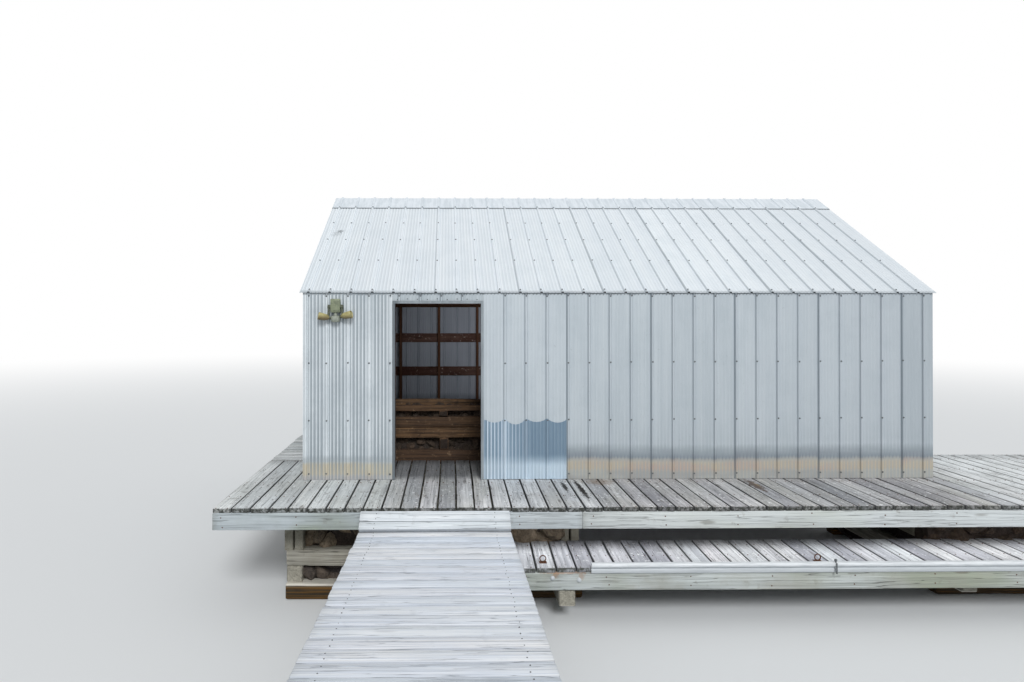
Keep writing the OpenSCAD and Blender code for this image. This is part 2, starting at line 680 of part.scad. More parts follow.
// Plate behind the box: it stands on the flutes, and is cut out where a rib passes
module lamp_plate() difference() {
    bar([lamp_x - lamp_w / 2 + lamp_rim, lamp_y - lamp_rim, lamp_z - lamp_h / 2 + lamp_rim],
        [lamp_w - 2 * lamp_rim, lamp_rim + rib_h - flute_h, lamp_h - 2 * lamp_rim]);
    for (i = [-1 : ceil(lamp_x / rib_pitch)])
        bar([left_rib + i * rib_pitch - rib_base / 2 - 1, lamp_y, 0], [rib_base + 2, wall_t, wall_h]);
}
module lamp_box() color("#8e957f") {
    bar([lamp_x - lamp_w / 2, lamp_y - lamp_d, lamp_z - lamp_h / 2], [lamp_w, lamp_d, lamp_h]);
    lamp_plate();
    // arms that end on the heads
    for (s = [-1, 1]) difference() {
        translate([lamp_x + s * (lamp_w / 2 - 4), lamp_y - lamp_d / 2, lamp_z - 20]) rotate([0, s * 125, 0])
            cylinder(d = 20, h = 46, $fn = 24);
        lamp_head(s);
    }
}
head_w = 112;
head_h = 58;
head_d = 86;
module lamp_head(s) translate([lamp_x + s * (lamp_w / 2 + 52), lamp_y - lamp_d / 2 - 22, lamp_z - 66])
    rotate([12, -s * 16, 0]) rotate([90, 0, 0]) translate([0, 0, -head_d / 2]) linear_extrude(head_d) {
        translate([-head_w / 2 + head_h / 2, 0]) circle(d = head_h, $fn = 32);
        translate([head_w / 2 - head_h / 2, 0]) circle(d = head_h, $fn = 32);
        square([head_w - head_h, head_h], center = true);
    }
module lamp_heads() color("#b5a456") {
    lamp_head(-1);
    lamp_head(1);
}
module lamp_sensor() color("#a8ad9c") translate([lamp_x, lamp_y - lamp_d / 2, lamp_z - lamp_h / 2 - 88]) {
    cylinder(d = 84, h = 54, $fn = 40);
    translate([0, 0, 53]) cylinder(d = 22, h = 35 - seat, $fn = 24);
}

// Origin: on the ground under the middle of the object
module placed() translate([-mid_x, -mid_y, -z_base]) children();

placed() left_crib_long_timbers();
placed() left_crib_cross_timbers();
placed() left_crib_rocks();
placed() right_crib_long_timbers();
placed() right_crib_cross_timbers();
placed() right_crib_rocks();
placed() back_crib_long_timbers();
placed() back_crib_cross_timbers();
placed() back_crib_rocks();
placed() inner_crib_timbers();
placed() inner_crib_rocks();
placed() deck_beams();
placed() deck_joists();
placed() deck_fascia();
placed() front_deck();
placed() side_deck_frame();
placed() side_deck();
placed() house_sills();
placed() lower_dock_frame();
placed() lower_dock_deck();
placed() dock_bumper();
placed() mooring_rings();
placed() gangway_stringers();
placed() gangway_deck();
placed() gangway_flap();
placed() gangway_trestle();
placed() wall_plates();
placed() wall_studs();
placed() wall_girts();
placed() rafters();
placed() ridge_board();
placed() purlins();
placed() front_wall_left();
placed() front_wall_header();
placed() front_wall_right();
placed() patch_sheet();
placed() left_gable_wall();
placed() right_gable_wall();
placed() back_wall();
placed() door_trim();
placed() roof_front();
placed() roof_back();
placed() ridge_cap();
placed() lamp_box();
placed() lamp_heads();
placed() lamp_sensor();
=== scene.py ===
# Boathouse of ribbed sheet on a crib dock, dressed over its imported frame
import math
import bmesh
import bpy
import numpy as np
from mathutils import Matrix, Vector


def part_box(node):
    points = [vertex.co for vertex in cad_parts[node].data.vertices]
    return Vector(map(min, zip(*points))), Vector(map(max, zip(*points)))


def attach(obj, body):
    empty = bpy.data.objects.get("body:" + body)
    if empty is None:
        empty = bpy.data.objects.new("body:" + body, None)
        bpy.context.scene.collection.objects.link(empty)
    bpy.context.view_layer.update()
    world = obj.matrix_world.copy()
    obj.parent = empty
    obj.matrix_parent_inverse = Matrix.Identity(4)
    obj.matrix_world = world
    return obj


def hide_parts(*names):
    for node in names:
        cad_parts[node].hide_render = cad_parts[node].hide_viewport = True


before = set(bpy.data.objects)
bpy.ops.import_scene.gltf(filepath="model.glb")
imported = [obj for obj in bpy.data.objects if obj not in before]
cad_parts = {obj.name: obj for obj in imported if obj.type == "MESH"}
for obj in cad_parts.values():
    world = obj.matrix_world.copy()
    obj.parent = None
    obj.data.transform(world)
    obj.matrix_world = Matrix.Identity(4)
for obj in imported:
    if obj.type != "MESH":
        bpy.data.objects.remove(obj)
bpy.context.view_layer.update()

house = {"length": 6.096, "depth": 4.267, "wallHeight": 1.800, "roofRise": 1.255, "doorLeft": 0.881,
         "doorRight": 1.708, "doorTop": 1.691, "trim": 0.025, "sheetFoot": 0.003, "sheetHead": 1.798}
sheetForm = {"pitch": 0.2032, "flutes": 5, "ribHeight": 0.014, "fluteHeight": 0.004, "thick": 0.0009}
length, depth, pitch = house["length"], house["depth"], sheetForm["pitch"]
slope = math.atan2(house["roofRise"], depth / 2)
slopeLength = math.hypot(house["roofRise"], depth / 2)

# Everything below is in metres from the house's front left corner at deck height:
# X along the front, Y into the house, Z up
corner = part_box("front_wall_left")[0]
origin = np.array([corner.x, corner.y + sheetForm["ribHeight"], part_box("front_deck")[1].z])


def addNode(tree, kind, inputs=(), **settings):
    # one node with its settings; its inputs come in the sockets' order, or by name or number in a dictionary,
    # and each is a number, a colour, or the node or socket that feeds it
    node = tree.nodes.new("ShaderNode" + kind)
    for key, value in settings.items():
        setattr(node, key, value)
    for key, value in inputs.items() if isinstance(inputs, dict) else enumerate(inputs):
        if isinstance(value, bpy.types.Node):
            value = value.outputs[0]
        if isinstance(value, bpy.types.NodeSocket):
            tree.links.new(value, node.inputs[key])
        else:
            node.inputs[key].default_value = value
    return node


def linear(hexColour):
    # sRGB hex to linear RGBA
    parts = np.array([int(hexColour[i:i + 2], 16) / 255 for i in (1, 3, 5)])
    parts = np.where(parts <= 0.04045, parts / 12.92, ((parts + 0.055) / 1.055) ** 2.4)
    return (*parts.tolist(), 1.0)


def newMaterial(name):
    material = bpy.data.materials.new(name)
    material.use_nodes = True
    material.node_tree.nodes.clear()
    return material, material.node_tree


def readPoint(tree, mark=None):
    # the vector that a mesh's points carry under a name, or their place, whole and as its three parts
    if mark:
        vector = addNode(tree, "Attribute", attribute_name=mark).outputs["Vector"]
    else:
        vector = addNode(tree, "TexCoord").outputs["Object"]
    return vector, *addNode(tree, "SeparateXYZ", (vector,)).outputs


def patches(tree, place, stretch, low, high, detail=3, shift=(0, 0, 0)):
    # noise stretched per axis (in 1/m), cut to 0..1 between low and high
    moved = addNode(tree, "Mapping", {"Vector": place, "Scale": np.ones(3) * stretch, "Location": shift})
    noise = addNode(tree, "TexNoise", {"Vector": moved, "Scale": 1.0, "Detail": detail, "Roughness": 0.6})
    return addNode(tree, "MapRange", (noise, low, high), interpolation_type="SMOOTHSTEP")


def between(tree, value, start, full, lastFull, end):
    # two masks: one rises from start to full, the other falls from lastFull to end
    return (addNode(tree, "MapRange", (value, start, full)), addNode(tree, "MapRange", (value, lastFull, end, 1, 0)))


def raggedMark(tree, place, middle, halves, stretch, bite, fade):
    # a ragged round mark: the distance from its middle in its half lengths, less noise, faded to 0
    scale = 1 / np.array(halves, float)
    centred = addNode(tree, "Mapping", {"Vector": place, "Scale": scale, "Location": -np.array(middle) * scale})
    distance = addNode(tree, "VectorMath", (centred,), operation="LENGTH").outputs["Value"]
    rough = patches(tree, place, stretch, 0.2, 0.8, 5)
    distance = addNode(tree, "Math", (rough, -bite, distance), operation="MULTIPLY_ADD")
    return addNode(tree, "MapRange", (distance, *fade, 1, 0))


def layColours(tree, base, layers):
    # lays each colour over the ones before it, as far as its mask, or its masks' product, and its strength say
    base = linear(base)
    for masks, colour, amount in layers:
        for mask in masks if isinstance(masks, tuple) else (masks,):
            amount = addNode(tree, "Math", (mask, amount), operation="MULTIPLY", use_clamp=True)
        base = addNode(tree, "Mix", {0: amount, 6: base, 7: linear(colour)}, data_type="RGBA").outputs[2]
    return base


def finishMaterial(tree, colour, roughness, bumps=(), metallic=0.0):
    # bumps: pairs of height and depth in metres, laid on each other
    inputs = {"Base Color": colour, "Roughness": roughness, "Metallic": metallic}
    for height, deep in bumps:
        below = {"Normal": inputs["Normal"]} if "Normal" in inputs else {}
        inputs["Normal"] = addNode(tree, "Bump", {"Height": height, "Distance": deep, "Strength": 1.0, **below})
    addNode(tree, "OutputMaterial", (addNode(tree, "BsdfPrincipled", inputs),))


def addObject(name, data):
    thing = bpy.data.objects.new(name, data)
    bpy.context.scene.collection.objects.link(thing)
    return thing


def makePiece(name, shape, material, stands=None, smoothTo=40):
    mesh = bpy.data.meshes.new(name)
    points = shape["points"] + origin
    points[:, 2] = np.maximum(points[:, 2], 0.0005)  # nothing sinks into the floor
    mesh.from_pydata(points.tolist(), [], [face for block in shape["faces"] for face in block.tolist()])
    for mark, values in shape["marks"].items():
        mesh.attributes.new(mark, "FLOAT_VECTOR", "POINT").data.foreach_set("vector", values.ravel())
    mesh.shade_smooth()
    mesh.set_sharp_from_angle(angle=math.radians(smoothTo))
    mesh.materials.append(material)
    piece = addObject(name, mesh)
    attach(piece, "root")
    if stands:
        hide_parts(stands)
    return piece


def coatNodes(material, *nodes):
    for node in nodes:
        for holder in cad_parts[node].material_slots:
            holder.material = material


def toPoints(*parts):
    # numbers and arrays that fit each other, side by side as one row for each point
    return np.stack(np.broadcast_arrays(*parts), axis=-1).reshape(-1, len(parts)).astype(float)


def joinShapes(shapes):
    # several shapes as one: points one after another, faces renumbered
    starts = np.cumsum([0] + [len(shape["points"]) for shape in shapes])
    return {"points": np.concatenate([shape["points"] for shape in shapes]),
            "faces": [block + start for shape, start in zip(shapes, starts) for block in shape["faces"]],
            "marks": {key: np.concatenate([shape["marks"][key] for shape in shapes]) for key in shapes[0]["marks"]}}


def gridFaces(rows, columns, ring=False):
    # quads of a grid of points; ring joins the last column to the first
    r, c = np.meshgrid(np.arange(rows - 1), np.arange(columns if ring else columns - 1), indexing="ij")
    r, c = r.ravel() * columns, c.ravel()
    n = (c + 1) % columns
    return np.stack([r + c, r + n, r + columns + n, r + columns + c], axis=1)


def tubeFaces(rings, sides, count=1):
    # closed tubes of so many rings each: quads round them and a cap at either end
    caps = np.stack([np.arange(sides)[::-1], np.arange(sides) + (rings - 1) * sides])
    shift = (np.arange(count) * rings * sides)[:, None, None]
    return [(block + shift).reshape(-1, block.shape[1]) for block in (gridFaces(rings, sides, ring=True), caps)]


def tilted(points, tilt, back=False):
    # turn about the X axis through tilt's hinge, or back again
    angle, hinge = tilt["angle"] * (-1 if back else 1), np.array([0, *tilt["hinge"]])
    c, s = math.cos(angle), math.sin(angle)
    turn = np.array([[1, 0, 0], [0, c, s], [0, -s, c]])
    return (points - hinge) @ turn if back else points @ turn + hinge


def readNode(node):
    # a CAD node's points, and its triangles as rows of three point numbers
    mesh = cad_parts[node].data
    points, corners = np.empty(len(mesh.vertices) * 3), np.empty(len(mesh.loops), int)
    mesh.vertices.foreach_get("co", points)
    mesh.loops.foreach_get("vertex_index", corners)
    return points.reshape(-1, 3) - origin, corners.reshape(-1, 3)


def memberBoxes(node, tilt=None):
    # corner pairs of the separate solids in a CAD node: points that share triangles get one label
    points, triangles = readNode(node)
    if tilt:
        points = tilted(points, tilt, back=True)
    points, merged = np.unique(np.round(points, 4), axis=0, return_inverse=True)
    triangles = merged.ravel()[triangles]
    label, linked = None, np.arange(len(points))
    while label is None or (linked != label).any():
        label, linked = linked, linked.copy()
        np.minimum.at(linked, triangles.ravel(), np.repeat(label[triangles].min(axis=1), 3))
    groups = [points[label == value] for value in np.unique(label)]
    return np.array([group.min(axis=0) for group in groups]), np.array([group.max(axis=0) for group in groups])


def carryBars(low, high, look, seed):
    # Each bar between the corners low and high (n, 3) is a rounded rectangle carried along its longest side:
    # point = start + distance along + profile, narrowed at both ends, plus slow sine bends and worn edges.
    rng = np.random.default_rng(seed)
    low, high = np.array(low, float), np.array(high, float)
    count, edge, along = len(low), look["edge"], int(np.argmax((high - low).mean(axis=0)))
    low[:, along] -= rng.uniform(-1, 1, count) * look.get("ragged", 0)
    size, middle, whole = high - low, (low + high) / 2, (high - low)[:, along, None]
    inner = edge + np.linspace(0, 1, max(2, math.ceil(whole.max() / look["step"])) + 1) * (whole - 2 * edge)
    stations = np.concatenate([0 * whole, inner, whole], axis=1)[..., None]
    rings, across = stations.shape[1], [(along + 1) % 3, (along + 2) % 3]
    angle = np.radians([0, 45, 90, 90, 135, 180, 180, 225, 270, 270, 315, 360])
    sides = np.repeat([[1, -1, -1, 1], [1, 1, -1, -1]], 3, axis=1)
    profile = [(side * (size[:, axis, None] / 2 - edge) + edge * wave(angle))[:, None]
               for axis, side, wave in zip(across, sides, (np.cos, np.sin))]
    narrow = np.ones((1, rings, 1))
    narrow[:, [0, -1]] = 1 - 1.2 * edge / size[:, across].min()
    worn = rng.normal(0, 1, (count, rings, 12))
    worn = -abs(worn + np.roll(worn, 1, 1) + np.roll(worn, -1, 1)) / 3 * look.get("wear", 0)  # only ever inwards
    phase, rate = rng.uniform(0, 6.28, (2, count, 1, 1)), rng.uniform(1.5, 4.0, (2, count, 1, 1))
    points = np.empty((count, rings, 12, 3))
    points[..., along] = low[:, along, None, None] + stations
    for axis, side, outline, bend in zip(across, sides, profile, look["bend"] * np.sin(rate * stations + phase)):
        points[..., axis] = middle[:, axis, None, None] + outline * narrow + bend + worn * side
    points[..., 2] += rng.uniform(-1, 1, (count, 1, 1)) * look.get("uneven", 0)
    number = np.arange(count)[:, None, None] + rng.uniform(0, 50)
    flat = profile[1 if across[0] == 2 else 0]
    return {"points": points.reshape(-1, 3), "faces": tubeFaces(rings, 12, count), "marks": {
        "grain": toPoints(stations + number * 3.7, profile[0] + number * 1.9, profile[1] + number * 2.3),
        "board": toPoints(rng.uniform(0, 1, (count, 1, 1)), np.minimum(stations, whole[..., None] - stations),
                          flat / flat.max(axis=2, keepdims=True))}}


def plainBar(low, high, edge, step, seed):
    return dict(carryBars([low], [high], {"edge": edge, "step": step, "bend": 0.0}, seed), marks={})


def memberBars(node, look, seed):
    # a CAD node's solids again as worn bars, each direction as one batch
    low, high = memberBoxes(node)
    if "splitOver" in look:  # a tall course is two timbers, one on the other
        tall = high[:, 2] - low[:, 2] > look["splitOver"]
        middle = (low[tall, 2] + high[tall, 2]) / 2
        low, high = np.concatenate([low, low[tall]]), np.concatenate([high, high[tall]])
        low[len(tall):, 2] = middle + 0.001
        high[:len(tall)][tall, 2] = middle - 0.001
    ways = np.argmax(high - low, axis=1)
    return joinShapes([carryBars(low[ways == way], high[ways == way], look, seed + way) for way in np.unique(ways)])


def splitSlab(low, high, axis, cuts, gap):
    # a slab as boards between the cuts, each cut a gap wide
    edges = np.concatenate([[low[axis] - gap / 2], cuts, [high[axis] + gap / 2]])
    boardLow, boardHigh = np.tile(low, (len(edges) - 1, 1)), np.tile(high, (len(edges) - 1, 1))
    boardLow[:, axis], boardHigh[:, axis] = edges[:-1] + gap / 2, edges[1:] - gap / 2
    return boardLow, boardHigh


def placeHeads(places, outward, rings, sides=6):
    # round heads on places: rings are (radius, height) pairs in mm from the foot to the top, carried round outward
    outward = np.array(outward, float)
    first = np.cross(outward, [0, 0, 1] if abs(outward[2]) < 0.9 else [0, 1, 0])
    first /= np.linalg.norm(first)
    second = np.cross(outward, first)
    turn = np.linspace(0, 2 * math.pi, sides, endpoint=False)[:, None]
    circle = np.cos(turn) * first + np.sin(turn) * second
    local = np.concatenate([radius * circle + height * outward for radius, height in np.array(rings) / 1000])
    return {"points": (np.asarray(places)[:, None] + local).reshape(-1, 3), "marks": {},
            "faces": tubeFaces(len(rings), sides, len(places))}


def weatheredWood(name, colours, **changes):
    # Sawn softwood left bare: fibres raised and greyed by sun and rain, checks along the grain, dirt in the gaps.
    # Fibres are drawn 7 to 20 mm wide, coarser than real ones, so that they show from the camera's distance.
    # The colours are those of pale and middling boards, then of the marks on them, in the order named here.
    marks = zip(("pale", "mid", "tint", "dark", "deep", "stain", "spot", "knot", "end"), colours.split())
    look = {**woodShares, **dict(marks), **changes}
    material, tree = newMaterial(name)
    place, x, y, z = readPoint(tree)
    if "turn" in look:  # on CAD nodes, which carry no grain of their own
        grain = addNode(tree, "Mapping", {"Vector": place, "Rotation": look["turn"]})
    else:
        grain = readPoint(tree, "grain")[0]
    tone, toEnd, across = readPoint(tree, "board")[1:]
    fibre = patches(tree, grain, (2.2, 140, 140), 0.3, 0.7, 4)
    streak = patches(tree, grain, (1.1, 48, 48), 0.38, 0.66, 3, (5, 3, 1))
    tint = patches(tree, grain, (0.22, 0.9, 0.9), 0.4, 0.62, 2, (6, 6, 6))
    moss = patches(tree, grain, (0.7, 1.7, 1.7), 0.45, 0.66, 3, (1, 4, 9))
    blotch = patches(tree, place, 2.6, 0.42, 0.68, 4)
    spot = patches(tree, place, 11, 0.58, 0.72, 5, (3, 8, 2))
    fleck = patches(tree, place, 32, 0.6, 0.67, 5, (8, 1, 5))
    crack = patches(tree, grain, (0.8, 34, 34), 0, 1, 2, (9, 2, 4))  # a crack runs where this noise is near its middle
    crack = addNode(tree, "Math", (addNode(tree, "Math", (crack, 0.5), operation="SUBTRACT"),), operation="ABSOLUTE")
    crack = addNode(tree, "MapRange", (crack, 0, look["crackWidth"], 1, 0))
    knot = addNode(tree, "Mapping", {"Vector": grain, "Scale": (1.5, 6.5, 6.5)})
    knot = addNode(tree, "MapRange", (addNode(tree, "TexVoronoi", {"Vector": knot, "Scale": 1.0}), 0.07, 0.13, 1, 0))
    nearEnd = addNode(tree, "MapRange", (toEnd, 0, look["endReach"], 1, 0))
    worn = patches(tree, place, 33, 0.36, 0.6, 3, (2, 6, 1))
    worn = addNode(tree, "MapRange", (worn, 0, 1, look["endLeast"], 1))
    nearSide = addNode(tree, "MapRange", (addNode(tree, "Math", (across,), operation="ABSOLUTE"), look["sideFrom"], 1))
    layers = [(mask, look[colour], look[share]) for mask, colour, share in (
        (tint, "tint", "tints"), (moss, "moss", "mosses"), (streak, "dark", "streaks"), (fibre, "dark", "fibres"),
        (blotch, "stain", "stains"), (spot, "spot", "spots"), (fleck, "fleck", "flecks"), (crack, "deep", "cracks"),
        (knot, "knot", "knots"), (nearSide, "deep", "sideDirt"), ((nearEnd, worn), "end", "endDirt"))]
    if "odd" in look:  # some boards are of another tone: share of the boards, colour, strength
        share, *tinge = look["odd"]
        layers.insert(0, (addNode(tree, "Math", (tone, 1 - share), operation="GREATER_THAN"), *tinge))
    for ends, colour, strength in look["reaches"]:  # painted light and shade, partly weathering: paler or darker under the spots, from one X to another
        layers.insert(5, (between(tree, x, *(origin[0] + ends)), colour, strength))
    if "indoor" in look:  # painted shade, with less bleached wood: grey brown inside the house, from one Y to another
        start, end, colour, strength = look["indoor"]
        behind = addNode(tree, "MapRange", (y, origin[1] + start, origin[1] + end))
        beside = addNode(tree, "Math", (x, origin[0] + length / 2, length / 2), operation="COMPARE")
        layers.append(((behind, beside), colour, strength))
    for *where, colour, strength in look["marksAt"]:  # a place, then half lengths along the three axes
        mark = raggedMark(tree, place, origin + where[:3], where[3:], 38, 1.1, (0.1, 0.5))
        layers.append((mark, colour, strength))
    roughness = 0.86
    if "wetBelow" in look:  # a pale line over wet, rust brown wood: bleaching, and painted light on the top edge, which lies in the deck's shade
        wet = addNode(tree, "MapRange", (z, look["wetBelow"], look["wetBelow"] + 0.02, 1, 0))
        pale = addNode(tree, "Math", (z, look["wetBelow"] + 0.032, 0.014), operation="COMPARE")
        layers += [(pale, look["bleached"], 0.7), (wet, look["wet"], 1.0), ((wet, streak), look["rusted"], 0.6)]
        roughness = addNode(tree, "MapRange", (wet, 0, 1, roughness, 0.7))
    finishMaterial(tree, layColours(tree, look["pale"], [(tone, look["mid"], 1.0)] + layers), roughness,
                   [(streak, look["relief"]), (fibre, 0.0006), (crack, -0.003)])
    return material


# how much the wood shows of each mark, and where; a finish below changes what differs
woodShares = {"tints": 0.35, "streaks": 0.5, "fibres": 0.3, "stains": 0.4, "spots": 0.3, "flecks": 0.0, "cracks": 0.6,
              "knots": 0.5, "sideDirt": 0.2, "endDirt": 0.3, "endReach": 0.05, "fleck": "#F1F4F5", "mosses": 0.0,
              "moss": "#A3A48C", "crackWidth": 0.014, "sideFrom": 0.86, "endLeast": 1.0, "relief": 0.0015,
              "reaches": [], "marksAt": []}
endless = [90, 91]  # for a reach that goes on to the deck's right end
# along the deck, painted light pales the boards past the right wall (these also less weathered), left of the doorway
# and just right of it, and painted shade darkens them from 2.6 m to the right wall
deckWood = weatheredWood(
    "softwoodDeckBoardGreyed", "#FFFFFF #C0C7CD #C0B8C2 #84878C #282827 #ABACAB #716D69 #565049 #2E312B",
    streaks=0.6, flecks=0.9, cracks=0.9, sideDirt=0.75, sideFrom=0.93, endDirt=0.97, endReach=0.006, endLeast=0.5,
    mosses=0.35, spots=0.4, odd=(0.25, "#8A8389", 0.32), indoor=(0.0, 0.16, "#454A51", 0.62),
    reaches=[([5.9, 6.7, *endless], "#F8FDFF", 0.92), ([-2, -1, 0.7, 1.2], "#E2ECEC", 0.4),
             ([1.6, 1.9, 2.4, 2.7], "#EAF0F5", 0.25), ([2.6, 3.1, 5.7, 6.3], "#66656A", 0.3)],
    marksAt=[(4.243, -0.27, 0, 0.05, 0.24, 0.3, "#4B3A2C", 0.85), (4.266, -0.24, 0, 0.011, 0.09, 0.3, "#94805E", 0.6),
             (2.602, -0.35, 0, 0.026, 0.36, 0.3, "#171412", 1.0), (2.465, -0.27, 0, 0.024, 0.18, 0.3, "#171412", 0.95),
             (2.83, -0.12, 0, 0.14, 0.12, 0.3, "#7A6248", 0.5)])
lowerWood = weatheredWood(
    "softwoodLowerDeckBoardGreyed", "#FFFFFF #DEE7EE #C0BCCA #878B94 #2D2C2C #AEB1B5 #8A8582 #67605B #43463F",
    stains=0.35, flecks=0.85, cracks=0.85, sideDirt=0.65, tints=0.4, sideFrom=0.92, endDirt=0.95, endReach=0.006,
    endLeast=0.45, odd=(0.3, "#7F7886", 0.5))
bleached = {"flecks": 0.1, "knots": 0.3, "sideDirt": 0.5, "sideFrom": 0.9}
gangwayWood = weatheredWood(
    "softwoodGangwayBoardBleached", "#FFFFFF #EFF8FF #E5EDFF #BDCBDF #79828E #E6F0FF #AEB4BC #9496A0 #D4D9DC",
    **bleached, streaks=0.36, fibres=0.25, tints=0.3, stains=0.3, spots=0.2)
# a darker copy of the gangway's boards: painted shade, since the flap's steeper tilt takes more light
flapWoodShaded = weatheredWood(
    "softwoodFlapBoardBleachedShaded", "#F3F8FB #E6EEF4 #DCE4E8 #AAB4BE #6B7078 #C9D2D8 #A4A8A6 #8A8A8A #C8CDD0",
    **bleached, streaks=0.45, tints=0.4)
# the fascia board right of its joint at 2.5 m is paler, partly its own tone and partly painted light, and painted light
# pales it a little left of the joint too
fasciaWood = weatheredWood(
    "softwoodFasciaBleached", "#D3DDE3 #C0CBD2 #C3C9BC #8A9599 #4A4A44 #A2A9AB #8B847C #665D54 #8A8A80",
    streaks=0.36, cracks=0.45, spots=0.4, sideDirt=0.1, mosses=0.85, moss="#9FAA88",
    reaches=[([2.49, 2.51, *endless], "#F8FCFB", 0.45), ([0.8, 2.0, 2.49, 2.51], "#EEF3F5", 0.25)])
lowerFasciaWood = weatheredWood(
    "softwoodLowerFasciaGreyed", "#E0E8EB #D0D8D9 #C4C9BE #8B9089 #4A4A44 #A9A89D #857D72 #665D54 #8A8A80",
    streaks=0.42, fibres=0.35, stains=0.5, cracks=0.7, crackWidth=0.016, spots=0.4, sideDirt=0.1, mosses=0.65,
    moss="#9AA480", marksAt=[(2.33, -1.146, -0.464, 0.20, 0.1, 0.010, "#A0683E", 0.5),
                             (2.24, -1.146, -0.484, 0.035, 0.1, 0.025, "#A57A55", 0.5),
                             (2.45, -1.146, -0.49, 0.03, 0.1, 0.03, "#A57A55", 0.4)])
frameWood = weatheredWood(
    "softwoodDockFraming", "#A8A598 #928E80 #8C8878 #6A665A #35302A #757062 #5A554A #4C4238 #A39F92")
cribWood = weatheredWood(
    "cedarCribTimberWaterworn", "#CFCCC0 #B3B0A4 #A5A191 #6E6B62 #2B2822 #868070 #5F594A #4A4438 #BAB6A8",
    streaks=0.55, fibres=0.35, cracks=0.75, relief=0.003, crackWidth=0.02, wetBelow=0.105, wet="#291D05",
    rusted="#7C540C", bleached="#EFEBE0")
# its ends are painted near black, as shade on the timbers' end faces
insideWood = weatheredWood(
    "softwoodIndoorTimberBrown", "#8A6A48 #523C2B #4C3022 #33241A #17110D #3F2D20 #2B1E15 #241A13 #1F1712",
    stains=0.6, tints=0.5, streaks=0.7, spots=0.6, fleck="#A08568", flecks=0.45, endDirt=0.9, endReach=0.004)
girtWood = weatheredWood(
    "softwoodGirtRedBrown", "#86604E #5E3F32 #9C8474 #40261E #1B100C #4E3128 #38231C #271812 #4F362B",
    stains=0.5, tints=0.6, fleck="#C9BDB2", flecks=0.9, endDirt=0.2)
brown = "#755743 #5E4333 #54382A #3E2A20 #1B120D #4C3528 #35251B #291C14 #4F3A2B"
for name, colours, turn, nodes in [
    ("softwoodStudBrown", brown, (0, 90, 0), ["wall_studs"]), ("softwoodRafterBrown", brown, (0, 0, 90), ["rafters"]),
    ("softwoodPurlinBrown", brown, (0, 0, 0), ["ridge_board", "purlins"]),
    ("softwoodStringerGrey", "#B9B8B0 #A3A198 #9A978A #77746A #3B3730 #837E72 #35251B #291C14 #4F3A2B", (0, 0, 90),
     ["gangway_stringers"]),
]:
    coatNodes(weatheredWood(name, colours, turn=np.radians(turn), sideDirt=0.0, endDirt=0.0), *nodes)
print("wood finishes ready")

boardLook = {"edge": 0.004, "step": 0.35, "bend": 0.0012, "uneven": 0.0012, "ragged": 0.006, "wear": 0.0006}
gangwayLook = dict(boardLook, edge=0.006, wear=0.0012)
timberLook = {"edge": 0.012, "step": 0.18, "bend": 0.003, "wear": 0.004}
frameLook = {"edge": 0.003, "step": 0.5, "bend": 0.001, "wear": 0.0006}
straightLook = {"edge": 0.002, "step": 0.6, "bend": 0.0}

deck = {"pitch": 0.1515, "leftPitch": 0.1545, "gap": 0.012, "leftTo": 0.544, "left": -0.535, "right": 8.5,
        "front": -0.95, "thick": 0.038, "insideTo": 0.87, "platformTo": 1.08}
lowerDock = {"pitch": 0.16, "gap": 0.013, "joint": 2.2508, "front": -1.147, "face": -1.146, "top": -0.426,
             "bumper": 0.025}
gangway = {"hinge": (-1.122, -0.1504), "angle": math.radians(-2.9), "board": 0.142, "gap": 0.004}
flap = {"hinge": (deck["front"], 0.0), "angle": math.atan2(0.120, 0.172), "board": 0.105}


def leaning(points):
    # towards the house the boards by the doorway lean to the right, by up to 20 mm
    reach = np.interp(points[:, 0], [0.85, 1.6, 2.4, 2.8, 3.4, 5.0], [0, 0.017, 0.020, 0.013, 0.007, 0])
    return points + (reach * np.clip(0.35 + 0.8 * (points[:, 1] - deck["front"]), 0, 1))[:, None] * [1, 0, 0]


def lowerLeaning(points):
    # the lower dock's boards lean to the right too, 45 mm a metre
    return points + np.clip(points[:, 1:2] - lowerDock["front"], 0, 1) * [0.045, 0, 0]


def onGangway(points):
    return tilted(points, gangway)


def onFlap(points):
    return tilted(points, flap)


cuts = deck["leftTo"] + np.concatenate([deck["leftPitch"] * np.arange(-6, 0), deck["pitch"] * np.arange(53)])
deckSlab = splitSlab([deck["left"], deck["front"], -deck["thick"]], [deck["right"], deck["insideTo"], 0.0], 0, cuts,
                     deck["gap"])
deckSlab[1][deckSlab[0][:, 0] > length, 1] = deck["platformTo"]  # past the right wall the boards run on
(sideLow,), (sideHigh,) = memberBoxes("side_deck")
cuts = np.arange(sideLow[1] + deck["pitch"], sideHigh[1] - 0.06, deck["pitch"])
sideSlab = splitSlab(sideLow, sideHigh, 1, cuts, deck["gap"])
(lowerLow,), (lowerHigh,) = memberBoxes("lower_dock_deck")
cuts = lowerDock["joint"] + lowerDock["pitch"] * np.arange(-8, 48)
cuts = cuts[(cuts > lowerLow[0] + 0.06) & (cuts < lowerHigh[0] - 0.1)]
lowerSlab = splitSlab(lowerLow, lowerHigh - [lowerDock["bumper"], 0, 0], 0, cuts, lowerDock["gap"])
(gangLow,), (gangHigh,) = memberBoxes("gangway_deck", gangway)
cuts = np.arange(gangHigh[1] - gangway["board"], gangLow[1] + 0.05, -gangway["board"])[::-1]
gangSlab = splitSlab(gangLow, gangHigh, 1, cuts, gangway["gap"])
(flapLow,), (flapHigh,) = memberBoxes("gangway_flap", flap)
flapSlab = splitSlab(flapLow, flapHigh, 1, [flapHigh[1] - flap["board"]], gangway["gap"])
